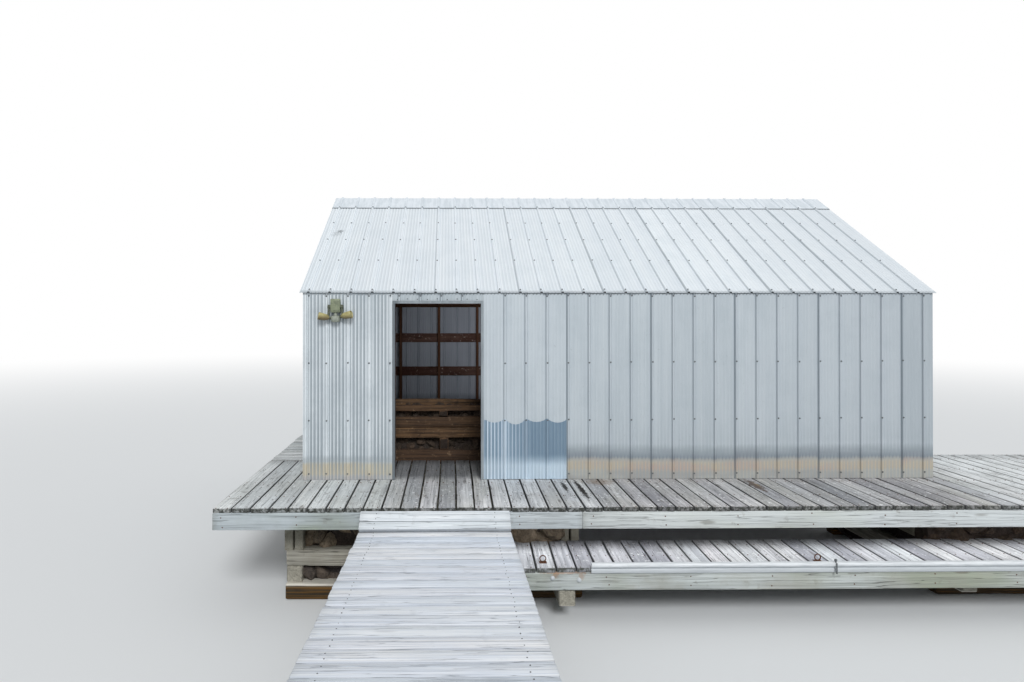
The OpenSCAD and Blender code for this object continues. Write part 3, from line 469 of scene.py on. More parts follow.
for seed, (name, node, slab, look, material, slot, settled) in enumerate([
    ("front_deck_boards", "front_deck", deckSlab, boardLook, deckWood, "deck_board", leaning),
    ("side_deck_boards", "side_deck", sideSlab, boardLook, deckWood, "deck_board", np.array),  # as they are
    ("lower_dock_boards", "lower_dock_deck", lowerSlab, boardLook, lowerWood, "deck_board", lowerLeaning),
    ("gangway_boards", "gangway_deck", gangSlab, gangwayLook, gangwayWood, "gangway_board", onGangway),
    ("gangway_flap_boards", "gangway_flap", flapSlab, gangwayLook, flapWoodShaded, "gangway_board", onFlap),
], 11):
    shape = carryBars(*slab, look, seed)
    makePiece(name, dict(shape, points=settled(shape["points"])), material, node)
print("decks laid")

# timbers that stand for the CAD members, each with its wear and its wood
crib = [f"{side}_crib_{way}_timbers" for side in ("left", "right", "back") for way in ("long", "cross")]
seed = 20
for nodes, look, material, slot in [
    (crib, timberLook, cribWood, "crib_timber"),
    (["inner_crib_timbers"], dict(timberLook, splitOver=0.2), insideWood, "inside_timber"),
    (["deck_beams", "deck_joists", "side_deck_frame"], frameLook, frameWood, "frame_timber"),
    (["house_sills", "gangway_trestle"], timberLook, frameWood, "frame_timber"),
    (["deck_fascia"], frameLook, fasciaWood, "fascia_board"),
    (["lower_dock_frame"], frameLook, lowerFasciaWood, "fascia_board"),
    (["wall_girts"], straightLook, girtWood, "girt_timber"),
    (["wall_plates"], straightLook, insideWood, "inside_timber"),
]:
    for node in nodes:
        makePiece(node + "_worn", memberBars(node, look, seed), material, node)
        seed += 3
print("timbers placed")

# across a rib and a flute: offset in mm, height as a share, and darkening, which lies on the left face: dirt and
# painted shade on a rib, painted shade on a flute
ribRow = np.array([[-19, 0, .35], [-15.2, .07, .9], [-8, .94, 1], [-5.5, 1, .3], [5.5, 1, 0], [8, .94, .05],
                   [15.2, .07, .2], [19, 0, .1]]) * [0.001, 1, 1]
fluteRow = np.array([[-10.5, 0, .8], [-7, .3, 1], [-3, .95, .5], [0, 1, 0], [3, .95, 0], [7, .3, .2],
                     [10.5, 0, .7]]) * [0.001, 1, 1]


def placeSheet(name, node, span, foot, head, rows, seed, firstRib, base, axes, material, slot="wall_sheet",
               laps=(99,), waves=0.0008, flute=sheetForm["fluteHeight"]):
    # Surface of x along the sheet and v from its foot to its head: the height out of the plane is the ribs' outline
    # at x, plus slow outward waves in x and v. The three axes carry x, v and this height; a lap at 99 m is none.
    start, end = span
    number = np.arange(math.floor((start - firstRib) / pitch), math.ceil((end - firstRib) / pitch) + 1)
    columns = [[start, 0, 0, 0], [end, 0, 0, 0]]
    for k in range(sheetForm["flutes"] + 1):  # the ribs, then the flutes between two of them
        row, tall = (fluteRow, flute) if k else (ribRow, sheetForm["ribHeight"])
        middles = firstRib + number * pitch + k * pitch / (sheetForm["flutes"] + 1)
        middles = middles[(middles + row[0, 0] > start + 0.002) & (middles + row[-1, 0] < end - 0.002)]
        offset, high, dirtAndShade = row.T
        columns += toPoints(middles[:, None] + offset, high * tall, dirtAndShade * (k == 0), dirtAndShade * (k > 0)).tolist()
    columns = np.array(sorted(columns))
    lapX = (np.array(laps)[:, None] + [-0.004, -0.001, 0.0005, 0.022]).ravel()
    x = np.unique(np.concatenate([columns[:, 0], lapX[(lapX > start) & (lapX < end)]]))
    high, ribDirtAndShade, fluteShade = (np.interp(x, columns[:, 0], values) for values in columns.T[1:])
    high = high + np.interp(x, lapX, np.tile([0, 0, 0.0009, 0], len(laps)))
    lapDirt = np.interp(x, lapX, np.tile([0, 1, 1, 0], len(laps)))
    rng = np.random.default_rng(seed)
    v = foot + np.linspace(0, 1, rows)[:, None] * ((head(x) if callable(head) else head) - foot)
    wave = sum(np.sin(x * rng.uniform(1.5, 9) + rng.uniform(0, 6)) * np.sin(v * rng.uniform(2, 6) + rng.uniform(0, 6))
               for _ in range(4)) / 8 + 0.5
    tone = rng.uniform(0, 1, 40)[np.searchsorted(np.sort(laps), x)]
    faces = gridFaces(rows, len(x))[:, ::1 if np.linalg.det(axes) > 0 else -1]  # turned round where the axes mirror
    piece = makePiece(name, {
        "points": base + toPoints(x, v, high + wave * waves) @ axes, "faces": [faces],
        "marks": {"sheet": toPoints(x, v, tone), "relief": toPoints(ribDirtAndShade, fluteShade, lapDirt, v)[:, :3]},
    }, material, node, smoothTo=28)
    # the sheet's border stays sharp, or its thickness would round the shading of the outer rows
    edges, sharpness = piece.data.edges, piece.data.attributes["sharp_edge"].data
    ends, sharp = np.empty(len(edges) * 2, int), np.empty(len(edges), bool)
    edges.foreach_get("vertices", ends)
    sharpness.foreach_get("value", sharp)
    row, column = np.divmod(ends.reshape(-1, 2), len(x))
    for line, count in ((row, rows), (column, len(x))):
        sharp |= ((line == 0) | (line == count - 1)).all(axis=1) & (line[:, 0] == line[:, 1])
    sharpness.foreach_set("value", sharp)
    wall = piece.modifiers.new("thickness", "SOLIDIFY")
    wall.thickness, wall.offset = sheetForm["thick"], -1


def agedCladding(name, **changes):
    # Zinc coated steel sheet, its zinc turned to matt grey carbonate: pale and cloudy, with rain streaks,
    # dirt and painted shade on the left face of each rib, painted shade on the left side of each flute, tannin
    # and splash stains at the foot that are partly a painted reflection of the deck, and where its bands say so
    # a painted shadow under the eave.
    look = {**wallBase, **changes}
    material, tree = newMaterial(name)
    sheet, x, v, tone = readPoint(tree, "sheet")
    ribDirtAndShade, fluteShade, lapDirt = readPoint(tree, "relief")[1:]
    rain = patches(tree, sheet, (14, 0.7, 0.3), 0.4, 0.66, 4)
    fine = patches(tree, sheet, (90, 2.4, 1), 0.35, 0.7, 3, (4, 1, 0))
    cloud = patches(tree, sheet, (3.2, 3.2, 2), 0.38, 0.66, 5, (2, 5, 0))
    speck = patches(tree, sheet, (42, 30, 1), 0.66, 0.74, 3, (7, 2, 0))
    mottle = patches(tree, sheet, (1.3, 4, 1), 0.42, 0.6, 3, (5, 5, 0))
    # the height that the bands follow: uneven everywhere, in slow waves low on the wall, and lower on the flutes
    lowDown = addNode(tree, "MapRange", (v, 0.4, 0.8, 1, 0))
    slow = addNode(tree, "Math", (patches(tree, sheet, (0.55, 0.2, 1), 0, 1, 1, (6, 0, 3)), lowDown),
                   operation="MULTIPLY")
    height = v
    for noise, share in ((patches(tree, sheet, (9, 3, 1), 0, 1, 4), look["ragged"]), (slow, look["slow"]),
                         (fluteShade, look["ruffle"])):
        height = addNode(tree, "Math", (noise, share, height), operation="MULTIPLY_ADD")
    layers = [(tone, look["mid"], 1.0), (cloud, look["cloud"], look["clouds"]), (rain, look["rain"], look["rains"]),
              (fine, look["rain"], look["fines"]), (speck, look["speck"], look["specks"])]
    for low, high, softLow, softHigh, colour, otherColour, strength in look["bands"]:
        band = between(tree, height, low - softLow, low + softLow, high - softHigh, high + softHigh)
        layers += [(band, colour, strength), ((*band, mottle), otherColour, strength * 0.8)]
    if "slate" in look:  # a darker part: begins at one X and is full at another, above a height
        start, end, lowest, colour, strength = look["slate"]
        layers.append(((addNode(tree, "MapRange", (x, start, end)),
                        addNode(tree, "MapRange", (height, lowest - 0.05, lowest + 0.05))), colour, strength))
    if "gleam" in look:  # painted reflection: bright upright streaks that fade from one edge of the sheet
        start, end, colour, strength = look["gleam"]
        layers.append(((addNode(tree, "MapRange", (x, start, end, 1, 0.08)),
                        addNode(tree, "MapRange", (fluteShade, 0.1, 0.5, 1, 0))), colour, strength))
    # painted shade in the flutes, growing towards the sheet's foot
    footFluteShade = addNode(tree, "MapRange", (v, 0.6, 0.2))
    layers.append(((footFluteShade, fluteShade), look["groove"], look["footGrooves"]))
    for markX, markV, halfX, halfV, colour, strength in look["marksAt"]:
        mark = raggedMark(tree, sheet, (markX, markV, 0), (halfX, halfV, math.inf), (52, 52, 1), 1.3, (-0.15, 0.35))
        layers.append((mark, colour, strength))
    # painted shade on one side of each flute, and dirt with painted shade on the left face of each rib
    start, end, least = look["fluteFade"]
    flute = (fluteShade, addNode(tree, "MapRange", (x, start, end, 1, least)),
             addNode(tree, "MapRange", (v, 0.05, 0.22, look["footFade"], 1)))
    start, end, least = look["lineFade"]
    line = (ribDirtAndShade, addNode(tree, "MapRange", (x, start, end, least, 1)))
    layers += [(flute, look["groove"], look["grooves"]), (line, look["line"], look["lines"]),
               (lapDirt, look["line"], look["laps"])]
    finishMaterial(tree, layColours(tree, look["pale"], layers), addNode(tree, "MapRange", (cloud, 0, 1, 0.44, 0.58)),
                   [(fine, 0.0002), (cloud, 0.0004)], look["metallic"])
    return material


# bands by height: from, to, softness of each edge, colour, the colour it turns to in places, strength
# a painted shadow under the roof's edge, along the top of a wall
eaveShadowBand = (1.783, 2.4, 0.006, 0.01, "#555C62", "#4B5157", 0.6)
# tannin and splash stains at the wall's foot, the tan partly a painted reflection of the deck
footBands = [(0.210, 0.31, 0.022, 0.06, "#727D87", "#7E858D", 0.8),
             (0.105, 0.215, 0.02, 0.028, "#BEB096", "#BAA39A", 0.85),
             (-0.05, 0.113, 0.01, 0.02, "#B1AEA3", "#A09E9C", 0.8)]
# the same stains at the left panel's foot, the cream partly a painted reflection of the deck
panelBands = [(0.19, 0.255, 0.02, 0.02, "#A9B1B5", "#A9B1B5", 0.4),
              (0.07, 0.193, 0.014, 0.016, "#CDC4AA", "#C9BFA9", 0.8),
              (-0.05, 0.073, 0.01, 0.016, "#BEBBB7", "#B5B0AD", 0.75)]
# groove is the colour of the flutes' painted shade, line that of the ribs' dirt and painted shade
wallBase = {"pale": "#C3CCD3", "mid": "#B2BCC3", "cloud": "#A9B4BB", "clouds": 0.35, "rain": "#CED6DB", "rains": 0.3,
            "fines": 0.15, "speck": "#84888A", "specks": 0.22, "groove": "#98A3AA", "grooves": 0.16,
            "line": "#76828B", "lines": 0.33, "laps": 0.6, "metallic": 0.2, "fluteFade": (0, 6, 1), "footFade": 1,
            "lineFade": (0, 6, 1), "footGrooves": 0.4, "bands": footBands + [eaveShadowBand], "ragged": 0.018,
            "slow": 0.05, "ruffle": -0.012, "marksAt": []}
wallSteel = agedCladding("galvanisedWallSheetAged", slate=(3.3, 5.9, 0.36, "#A0A9B1", 0.38))
gableSteel = agedCladding("galvanisedGableSheetAged", bands=footBands)
panelSteel = agedCladding("galvanisedWallSheetFluted", pale="#E6EDF1", mid="#D9E2E8", groove="#7F8B94", grooves=0.9,
                          lines=0.35, footFade=0.5, bands=panelBands + [eaveShadowBand])
headerSteel = agedCladding("galvanisedHeaderSheet", pale="#B8C2C8", mid="#ADB7BD", grooves=0.25, lines=0.35,
                           bands=[eaveShadowBand])
roofSteel = agedCladding(
    "galvanisedRoofSheetAged", pale="#E6EEF4", mid="#DDE5EC", cloud="#D2DBE2", rain="#F0F5F8", groove="#B2BCC3",
    grooves=0.55, line="#98A2A9", lines=0.42, laps=0.5, fluteFade=(0.5, 4.0, 0.25), lineFade=(1.4, 3.6, 0.35),
    slate=(3.6, 6.0, -0.5, "#C6CED5", 0.35), bands=[(-0.1, 0.03, 0.008, 0.008, "#A2AAB0", "#A2AAB0", 0.5)],
    ragged=0.01, slow=0.0, ruffle=0.0, footGrooves=0.0,
    marksAt=[(0.160, 1.435, 0.045, 0.05, "#5F646A", 0.8), (0.13, 1.36, 0.06, 0.07, "#8F959B", 0.45)])
# painted reflections on the new patch: its pale lower band, its dark upper right part and its bright upright streaks
freshSteel = agedCladding(
    "galvanisedPatchSheetNew", pale="#9CB3C7", mid="#8FA7BB", cloud="#7B93A7", clouds=0.4, rain="#B4C8D8", rains=0.25,
    fines=0.3, speck="#5E7486", groove="#587084", grooves=0.55, line="#536B7E", lines=0.45, metallic=0.3,
    fluteFade=(1.9, 2.3, 0.45), slate=(1.95, 2.2, 0.2, "#6A8296", 0.7), gleam=(1.74, 2.2, "#E2EEF8", 0.9),
    bands=[(-0.1, 0.185, 0.05, 0.05, "#D2E3F0", "#C6D9E9", 0.9)], slow=0.0, footGrooves=0.0)
print("sheet finishes ready")

# the middle of each wall's first rib; a lap's edge stands a little left of its rib
ribs = {"panel": 0.228, "wall": 1.735, "roof": 0.055, "gable": 0.1016, "lap": 0.0175}
ribs["back"] = ribs["wall"] - 8 * pitch
patch = {"left": 0.015, "wide": 0.813, "foot": 0.004, "head": 0.597, "out": 0.0019,
         "sags": [0.050, 0.068, 0.045, 0.052]}
roof = {"over": 0.032, "foot": -0.014, "head": slopeLength - 0.006, "off": 0.0013, "overGable": 0.0046}
up, front, right = np.array([0, 0, 1.0]), np.array([0, -1.0, 0]), np.array([1.0, 0, 0])
alongRoof, offRoof = np.array([0, math.cos(slope), math.sin(slope)]), np.array([0, -math.sin(slope), math.cos(slope)])
mirrorY, eave = np.array([1.0, -1.0, 1.0]), np.array([0, 0, house["wallHeight"]])
doorEdges = house["doorLeft"] - house["trim"], house["doorRight"] + house["trim"]


def gableTop(y):
    # height of the gable's edge under the roof at distance y from the front
    return house["wallHeight"] + house["roofRise"] * (1 - abs(2 * y / depth - 1)) - roof["overGable"]


def patchTop(x):
    # the patch's upper edge sags between its ribs, each sag a little different
    turn = (x - ribs["wall"]) / pitch
    sag = np.array(patch["sags"])[np.clip(np.floor(turn), 0, 3).astype(int)]
    return patch["head"] - sag * abs(np.sin(math.pi * turn)) ** 0.6


def lapsAfter(rib, first, last):
    # every fourth rib from the first number to before the last carries a lap
    return ribs[rib] + pitch * np.arange(first, last, 4) - ribs["lap"]


foot, head, frontWall = house["sheetFoot"], house["sheetHead"], ((0, 0, 0), (right, up, front))
placeSheet("left_panel_sheet", "front_wall_left", (0, doorEdges[0]), foot, head, 10, 1, ribs["panel"], *frontWall,
           panelSteel)
placeSheet("header_sheet", "front_wall_header", (doorEdges[0] + 0.001, doorEdges[1] - 0.001),
           house["doorTop"] + house["trim"] + 0.001, head, 3, 2, ribs["wall"], *frontWall, headerSteel, flute=0.0015)
placeSheet("right_wall_sheet", "front_wall_right", (doorEdges[1], length), foot, head, 12, 3, ribs["wall"],
           *frontWall, wallSteel, laps=lapsAfter("wall", 4, 24), flute=0.0014)
placeSheet("back_wall_sheet", "back_wall", (0, length), foot, head, 12, 4, ribs["back"], (0, depth, 0),
           (right, up, -front), wallSteel, flute=0.0022,
           laps=np.append(lapsAfter("back", 4, 24), lapsAfter("wall", 16, 24)))
for side, x, outward, seed in (("left", 0, -right, 5), ("right", length, right, 6)):
    placeSheet(side + "_gable_sheet", side + "_gable_wall", (0.002, depth - 0.002), foot, gableTop, 14, seed,
               ribs["gable"], (x, 0, 0), (-front, up, outward), gableSteel, flute=0.0022,
               laps=lapsAfter("gable", 4, 20))
patchLeft = doorEdges[1] - patch["left"]
placeSheet("patch_sheet_new", "patch_sheet", (patchLeft, patchLeft + patch["wide"]), patch["foot"], patchTop, 5, 7,
           ribs["wall"], (0, -patch["out"], 0), frontWall[1], freshSteel, "new_sheet", waves=0.0002)
for side, y, turn, seed in (("front", 0, np.ones(3), 8), ("back", depth, mirrorY, 9)):
    placeSheet(f"roof_{side}_sheet", "roof_" + side, (-roof["over"], length + roof["over"]), roof["foot"],
               roof["head"], 14, seed, ribs["roof"], eave + [0, y, 0] + offRoof * turn * roof["off"],
               (right, alongRoof * turn, offRoof * turn), roofSteel, "roof_sheet", flute=0.003,
               laps=lapsAfter("roof", 2, 30))
print("sheets placed")

# washers are drawn 18 mm wide, over the real 15, and nail heads 11 mm, over the real 8, so that they show
screwRings, headerNailRings = [(9, 0), (9, 1.4), (5.2, 2), (4.8, 6), (3, 7)], [(6, 0), (6, 1.2), (4, 2)]
nailRings, smallRings = [(5.5, -4), (5.5, 1.6), (3, 2.4)], [(3.8, -4), (3.8, 1.2), (2.2, 1.8)]
ribTop = sheetForm["ribHeight"] + 0.0005
screwRows = np.array([0.06, 0.57, 1.12, 1.765])


def rowsOf(xs, zs, shake, seed):
    # every x with every z, each moved by a little chance
    x, z = np.meshgrid(xs, zs)
    moved = np.random.default_rng(seed).uniform(-shake, shake, (2, x.size))
    return x.ravel() + moved[0], z.ravel() + moved[1]


x, z = rowsOf(ribs["wall"] + pitch * np.arange(1, 22), screwRows, 0.004, 1)
z = z + (x - ribs["wall"] - pitch) * 0.005 * (abs(z - 0.9) < 0.6)  # the middle rows rise a little to the right
frontScrews = toPoints(x, -ribTop, z)[(z > 0.3) | (x > 2.5)]
x, z = rowsOf(ribs["panel"] + pitch * np.arange(4), screwRows, 0.004, 2)
panelScrews = toPoints(x, -ribTop, z)[x < 0.85]
cornerScrews = toPoints(0.058, -0.0045, screwRows)
headerScrews = toPoints(rowsOf(ribs["wall"] - pitch * np.arange(1, 5), [1.76], 0.003, 3)[0], -ribTop, 1.765)
nailsX = doorEdges[0] + 0.05 + 0.0955 * np.arange(9)
headerNails = toPoints(nailsX, -0.0025, 1.733 + 0.004 * np.sin(nailsX * 40))
x, z = rowsOf(ribs["back"] + pitch * np.arange(30), screwRows, 0.004, 4)
backScrews = toPoints(x, depth + ribTop, z)
x, v = rowsOf(ribs["roof"] + pitch * np.arange(30), slopeLength * np.array([0.012, 0.27, 0.48, 0.67, 0.872]), 0.006, 5)
roofScrews = x[:, None] * right + v[:, None] * alongRoof + offRoof * (ribTop + roof["off"]) + eave
y, z = rowsOf(ribs["gable"] + pitch * np.arange(20), [0.06, 0.57, 1.12, 1.72, 2.2, 2.7], 0.004, 6)
leftScrews = toPoints(-ribTop, y, z)[z < gableTop(y) - 0.05]

# Zinc plated screw heads on dulled washers, grey and slightly rough
screwSteel, tree = newMaterial("zincPlatedScrew")
dull = patches(tree, readPoint(tree)[0], 60, 0.3, 0.7)
finishMaterial(tree, layColours(tree, "#6E757A", [(dull, "#4C4A48", 0.6)]), 0.55, metallic=0.4)
makePiece("sheet_screws", joinShapes([placeHeads(*heads) for heads in (
    (np.concatenate([frontScrews, panelScrews, cornerScrews, headerScrews]), front, screwRings),
    (headerNails, front, headerNailRings), (backScrews, -front, screwRings), (roofScrews, offRoof, screwRings),
    (roofScrews * mirrorY + [0, depth, 0], offRoof * mirrorY, screwRings), (leftScrews, -right, screwRings),
    (leftScrews * [-1, 1, 1] + [length, 0, 0], right, screwRings))]), screwSteel)


def surfaceSpots(node, spacing, rng):
    # points and outward directions spread over a CAD node's faces, none nearer to another than the spacing
    points, triangles = readNode(node)
    a, b, c = points[triangles].transpose(1, 0, 2)
    normal = np.cross(b - a, c - a)
    area = np.linalg.norm(normal, axis=1)
    normal /= np.maximum(area, 1e-9)[:, None]
    area[normal[:, 2] < -0.5] = 0  # none on the undersides
    tries = int(area.sum() / 2 / spacing ** 2 * 9)
    pick = rng.choice(len(area), tries, p=area / area.sum())
    u, v = rng.uniform(0, 1, (2, tries, 1))
    u, v = np.where(u + v > 1, 1 - u, u), np.where(u + v > 1, 1 - v, v)
    spot, kept = a[pick] + u * (b - a)[pick] + v * (c - a)[pick], []
    for i in range(tries):
        if not kept or (np.linalg.norm(spot[kept] - spot[i], axis=1) > spacing * 0.72).all():
            kept.append(i)
    return spot[kept], normal[pick][kept]


def stonesOver(node, look, seed):
    # Each stone is a small round of 42 points whose radius is cut back by random planes: r = min(1, q / (d . n)),
    # then stretched and turned. The stones stand half sunk in the rock block's faces.
    centres, outward = surfaceSpots(node, look["spacing"], np.random.default_rng(seed))
    rng, count = np.random.default_rng(seed), len(centres)
    ball = bmesh.new()
    bmesh.ops.create_icosphere(ball, subdivisions=2, radius=1)
    way = np.array([v.co for v in ball.verts])
    triangles = np.array([[v.index for v in f.verts] for f in ball.faces])
    ball.free()
    normals = rng.normal(size=(count, 9, 3))
    normals /= np.linalg.norm(normals, axis=2, keepdims=True)
    cutAt = rng.uniform(0.5, 0.95, (count, 1, 9))
    reach = np.einsum("vi,nji->nvj", way, normals)
    radius = np.minimum(1, (cutAt / np.maximum(reach, 0.05)).min(axis=2))[..., None]
    size = rng.uniform(0.7, 1.25, (count, 1, 1)) * rng.uniform(0.7, 1.2, (count, 1, 3)) * look["fill"] * look["spacing"]
    turn, _ = np.linalg.qr(rng.normal(size=(count, 3, 3)))
    turn *= np.sign(np.linalg.det(turn))[:, None, None]
    centres = centres - outward * look["spacing"] * rng.uniform(*look["sunk"], (count, 1))
    points = centres[:, None] + np.einsum("nvi,nij->nvj", way * radius * size, turn)
    shift = (np.arange(count) * len(way))[:, None, None]
    stone = np.broadcast_to(rng.uniform(0, 1, (count, 1, 3)), points.shape)
    return {"points": points.reshape(-1, 3), "faces": [(triangles + shift).reshape(-1, 3)],
            "marks": {"stone": stone.reshape(-1, 3)}}


def rockFinish(name, one, two, three, dark, mineral):
    # Broken granite and gneiss, brown grey and dull pink, with rough faces, and painted shade low in the cribs
    material, tree = newMaterial(name)
    place, _, _, z = readPoint(tree)
    first, second = readPoint(tree, "stone")[1:3]
    grain = patches(tree, place, 55, 0.4, 0.62, 4)
    coarse = patches(tree, place, 13, 0.4, 0.65, 5, (4, 2, 7))
    lichen = patches(tree, place, 24, 0.6, 0.68, 3, (1, 9, 3))
    # painted shade: stones low in the cribs are darkened
    lowCribShade = addNode(tree, "MapRange", (z, 0.3, 0.4, 1, 0))
    finishMaterial(tree, layColours(tree, one, [
        (first, two, 1.0), (second, three, 0.45), (coarse, dark, 0.55), (grain, mineral, 0.35),
        (lichen, "#5E5A46", 0.3), (lowCribShade, "#2F2A2C", 0.75)]), 0.82, [(coarse, 0.012), (grain, 0.003)])
    return material


fieldStone = rockFinish("graniteFieldStone", "#A38D74", "#5C5145", "#968C7F", "#302820", "#A59780")
darkStone = rockFinish("graniteFieldStoneDark", "#4F3E31", "#2F2620", "#40372E", "#1C1612", "#5C4B3C")
shadedRock = rockFinish("graniteRubbleShaded", "#3A302A", "#3A302A", "#332B26", "#1E1916", "#4A4038")
heap = {"spacing": 0.17, "fill": 0.62, "sunk": (0.0, 0.3)}
for seed, (where, stone, look) in enumerate([
    ("left", fieldStone, heap), ("right", darkStone, heap), ("back", fieldStone, heap),
    ("inner", darkStone, dict(heap, spacing=0.11, fill=0.7)),
], 60):
    node = where + "_crib_rocks"
    coatNodes(shadedRock, node)
    makePiece(node + "_stones", stonesOver(node, look, seed), stone, smoothTo=16)
print("stones heaped")


def plainFinish(name, base, other, share, roughness, bump, stretch, along=None, metallic=0.0):
    # one colour with a second one in soft patches, for small metal and plastic pieces;
    # along gives an axis, where a further colour starts and is full, that colour and its strength
    material, tree = newMaterial(name)
    place, *parts = readPoint(tree)
    spot = patches(tree, place, stretch, 0.38, 0.66, 4)
    rub = patches(tree, place, 2.7 * np.array(stretch), 0.5, 0.7, 3, (3, 1, 2))
    layers = [(spot, other, share), (rub, other, share * 0.5)]
    if along:
        axis, start, full, *further = along
        shift = origin[axis]
        layers.append((addNode(tree, "MapRange", (parts[axis], start + shift, full + shift)), *further))
    finishMaterial(tree, layColours(tree, base, layers), roughness, [(spot, bump)], metallic)
    return material


# Galvanised trim, dulled to mid grey, darkest on the left jamb
coatNodes(plainFinish("galvanisedTrimAged", "#959EA4", "#767E84", 0.6, 0.55, 0.0004, (16, 16, 3),
                      (0, 0.95, 0.90, "#626A70", 0.8), metallic=0.2), "door_trim")
# Galvanised ridge cap with rain marks down its slopes, and painted shadow along its two lower edges
coatNodes(plainFinish("galvanisedRidgeCapAged", "#DDE5EC", "#BCC7CF", 0.5, 0.5, 0.0004, (24, 3, 3),
                      (2, 2.903, 2.894, "#525A61", 0.9), metallic=0.2), "ridge_cap")
# Mild steel, rusted all over to a rough brown
rustySteel = plainFinish("mildSteelRusted", "#6B4530", "#3A2A22", 0.7, 0.8, 0.0006, 120, metallic=0.2)
coatNodes(rustySteel, "mooring_rings")
# Extruded PVC, white, faintly chalky, scuffed lengthwise, and darker from its groove down as dirt and painted shade
bumperVinyl = plainFinish("pvcBumperWhite", "#E3E8EC", "#A4ABB0", 0.4, 0.42, 0.0002, (5, 40, 60),
                          (2, -0.419, -0.426, "#AEB5BA", 0.55))
# The strip's outline (Y, Z) in mm, round from its fixing face: a half round over a groove and a flat lip
roundTurn = np.radians(np.linspace(88, -72, 11))[:, None]
bumperLine = np.concatenate([
    [[-1146.2, -382.2]], [-1160, -402] + np.hstack([-19 * np.cos(roundTurn), 19.5 * np.sin(roundTurn)]),
    [[-1156, -422.5], [-1154.5, -428.5], [-1160, -432.5], [-1162.5, -437.5], [-1162.5, -460], [-1160, -465],
     [-1146.2, -465.6]]]) / 1000
strips = []
for start, end in zip(*(corners[:, 0] for corners in memberBoxes("dock_bumper"))):
    stations = np.linspace(start, end, max(2, round((end - start) / 0.5)))
    strips.append({"points": toPoints(stations[:, None], *bumperLine.T), "marks": {},
                   "faces": [block[:, ::-1] for block in tubeFaces(len(stations), len(bumperLine))]})
makePiece("bumper_strips", joinShapes(strips), bumperVinyl, "dock_bumper")

# Twin lamp: cast box and arms in dull olive enamel, two yellowed spun metal heads with painted shade on their
# undersides, moulded grey sensor.
# Its places are in mm from the middle of the box's back; side is -1 for the left head and 1 for the right one.
lamp = {"place": (0.319, -0.0143, 1.670), "headWay": (0.95, -0.25, 0.19), "shadeFrom": 1.552, "shadeTo": 1.585}


def onLamp(x, y, z):
    return np.array(lamp["place"]) + np.array([x, y, z]) / 1000


lampEnamel = plainFinish("castLampHousingOlive", "#878F75", "#5E6655", 0.6, 0.55, 0.0004, 45)
armEnamel = plainFinish("castLampArmDark", "#565C4C", "#3E4338", 0.6, 0.6, 0.0004, 45)
sensorPlastic = plainFinish("mouldedSensorPlasticGrey", "#A0A69A", "#6F756A", 0.5, 0.5, 0.0002, 45)
headEnamel, tree = newMaterial("spunLampHeadYellowed")
place, _, _, z = readPoint(tree)
grime = patches(tree, place, 45, 0.4, 0.65, 4)
# painted shade: the heads are darkened brown on their undersides
shade = addNode(tree, "MapRange", (z, origin[2] + lamp["shadeFrom"], origin[2] + lamp["shadeTo"], 1, 0))
finishMaterial(tree, layColours(tree, "#B3AB78", [(grime, "#87804A", 0.55), (shade, "#6A5A42", 0.8)]), 0.45,
               [(grime, 0.0004)])
bellRings = [(10, 0), (15, 6), (26, 24), (33, 52), (36, 94), (38, 106), (36, 110), (30, 100), (15, 105), (3, 107)]
sensorRings = [(10, 0), (34, 3), (43, 14), (45, 50), (40, 60), (16, 66), (14, 98)]
knuckleRings = [(14, 0), (19, 4), (20, 22), (18, 30), (10, 34)]
neckRings = [(10, 0), (16, 4), (17, 18), (13, 22)]
makePiece("lamp_housing", joinShapes([
    plainBar(onLamp(*low), onLamp(*high), edge, 0.2, seed)
    for seed, (low, high, edge) in enumerate([  # the box, its lid and its plate on the wall
        ((-46, -55, -65), (46, 0, 65), 0.007), ((-36, -59, -49), (36, -53, 49), 0.002),
        ((-38, -2, -57), (38, 10, 57), 0.001)], 1)]), lampEnamel, "lamp_box")
bells, arms = [], []
for side in (-1, 1):
    way = np.array(lamp["headWay"]) * [side, 1, 1]
    way /= np.linalg.norm(way)
    neck = onLamp(104 * side, -53.7, 7 * side - 100) - way * 0.054
    joint, elbow = onLamp(42 * side, -29.7, -10), onLamp(60 * side, -35.7, -14)
    arm = neck + way * 0.016 - elbow
    reach = np.linalg.norm(arm)
    bells.append(placeHeads([neck], way, bellRings, 28))
    arms += [placeHeads([joint], right * side, knuckleRings, 20), placeHeads([neck - way * 0.012], way, neckRings, 16),
             placeHeads([elbow], arm / reach, [(10, 0), (10, reach * 1000)], 14)]
makePiece("lamp_arms", joinShapes(arms), armEnamel, "lamp_heads")
makePiece("lamp_bells", joinShapes(bells), headEnamel, "lamp_heads")
makePiece("lamp_sensor_dome", placeHeads([onLamp(0, -27.5, -159)], up, sensorRings, 32), sensorPlastic,
          "lamp_sensor")


def boardNails(slab, axis, rows, seed, apart=0.047, top=0.0):
    # two nails through each board at each row; axis is the way across the boards
    across = ((slab[0] + slab[1])[:, axis, None] / 2 + [-apart, apart]).ravel()
    a, b = rowsOf(across, rows, 0.007, seed)
    return toPoints(a, b, top) if axis == 0 else toPoints(b, a, top)


def fasciaNails(start, step, count, y, rows, seed):
    x, z = rowsOf(start + step * np.arange(count), rows, 0.012, seed)
    return toPoints(x, y, z)


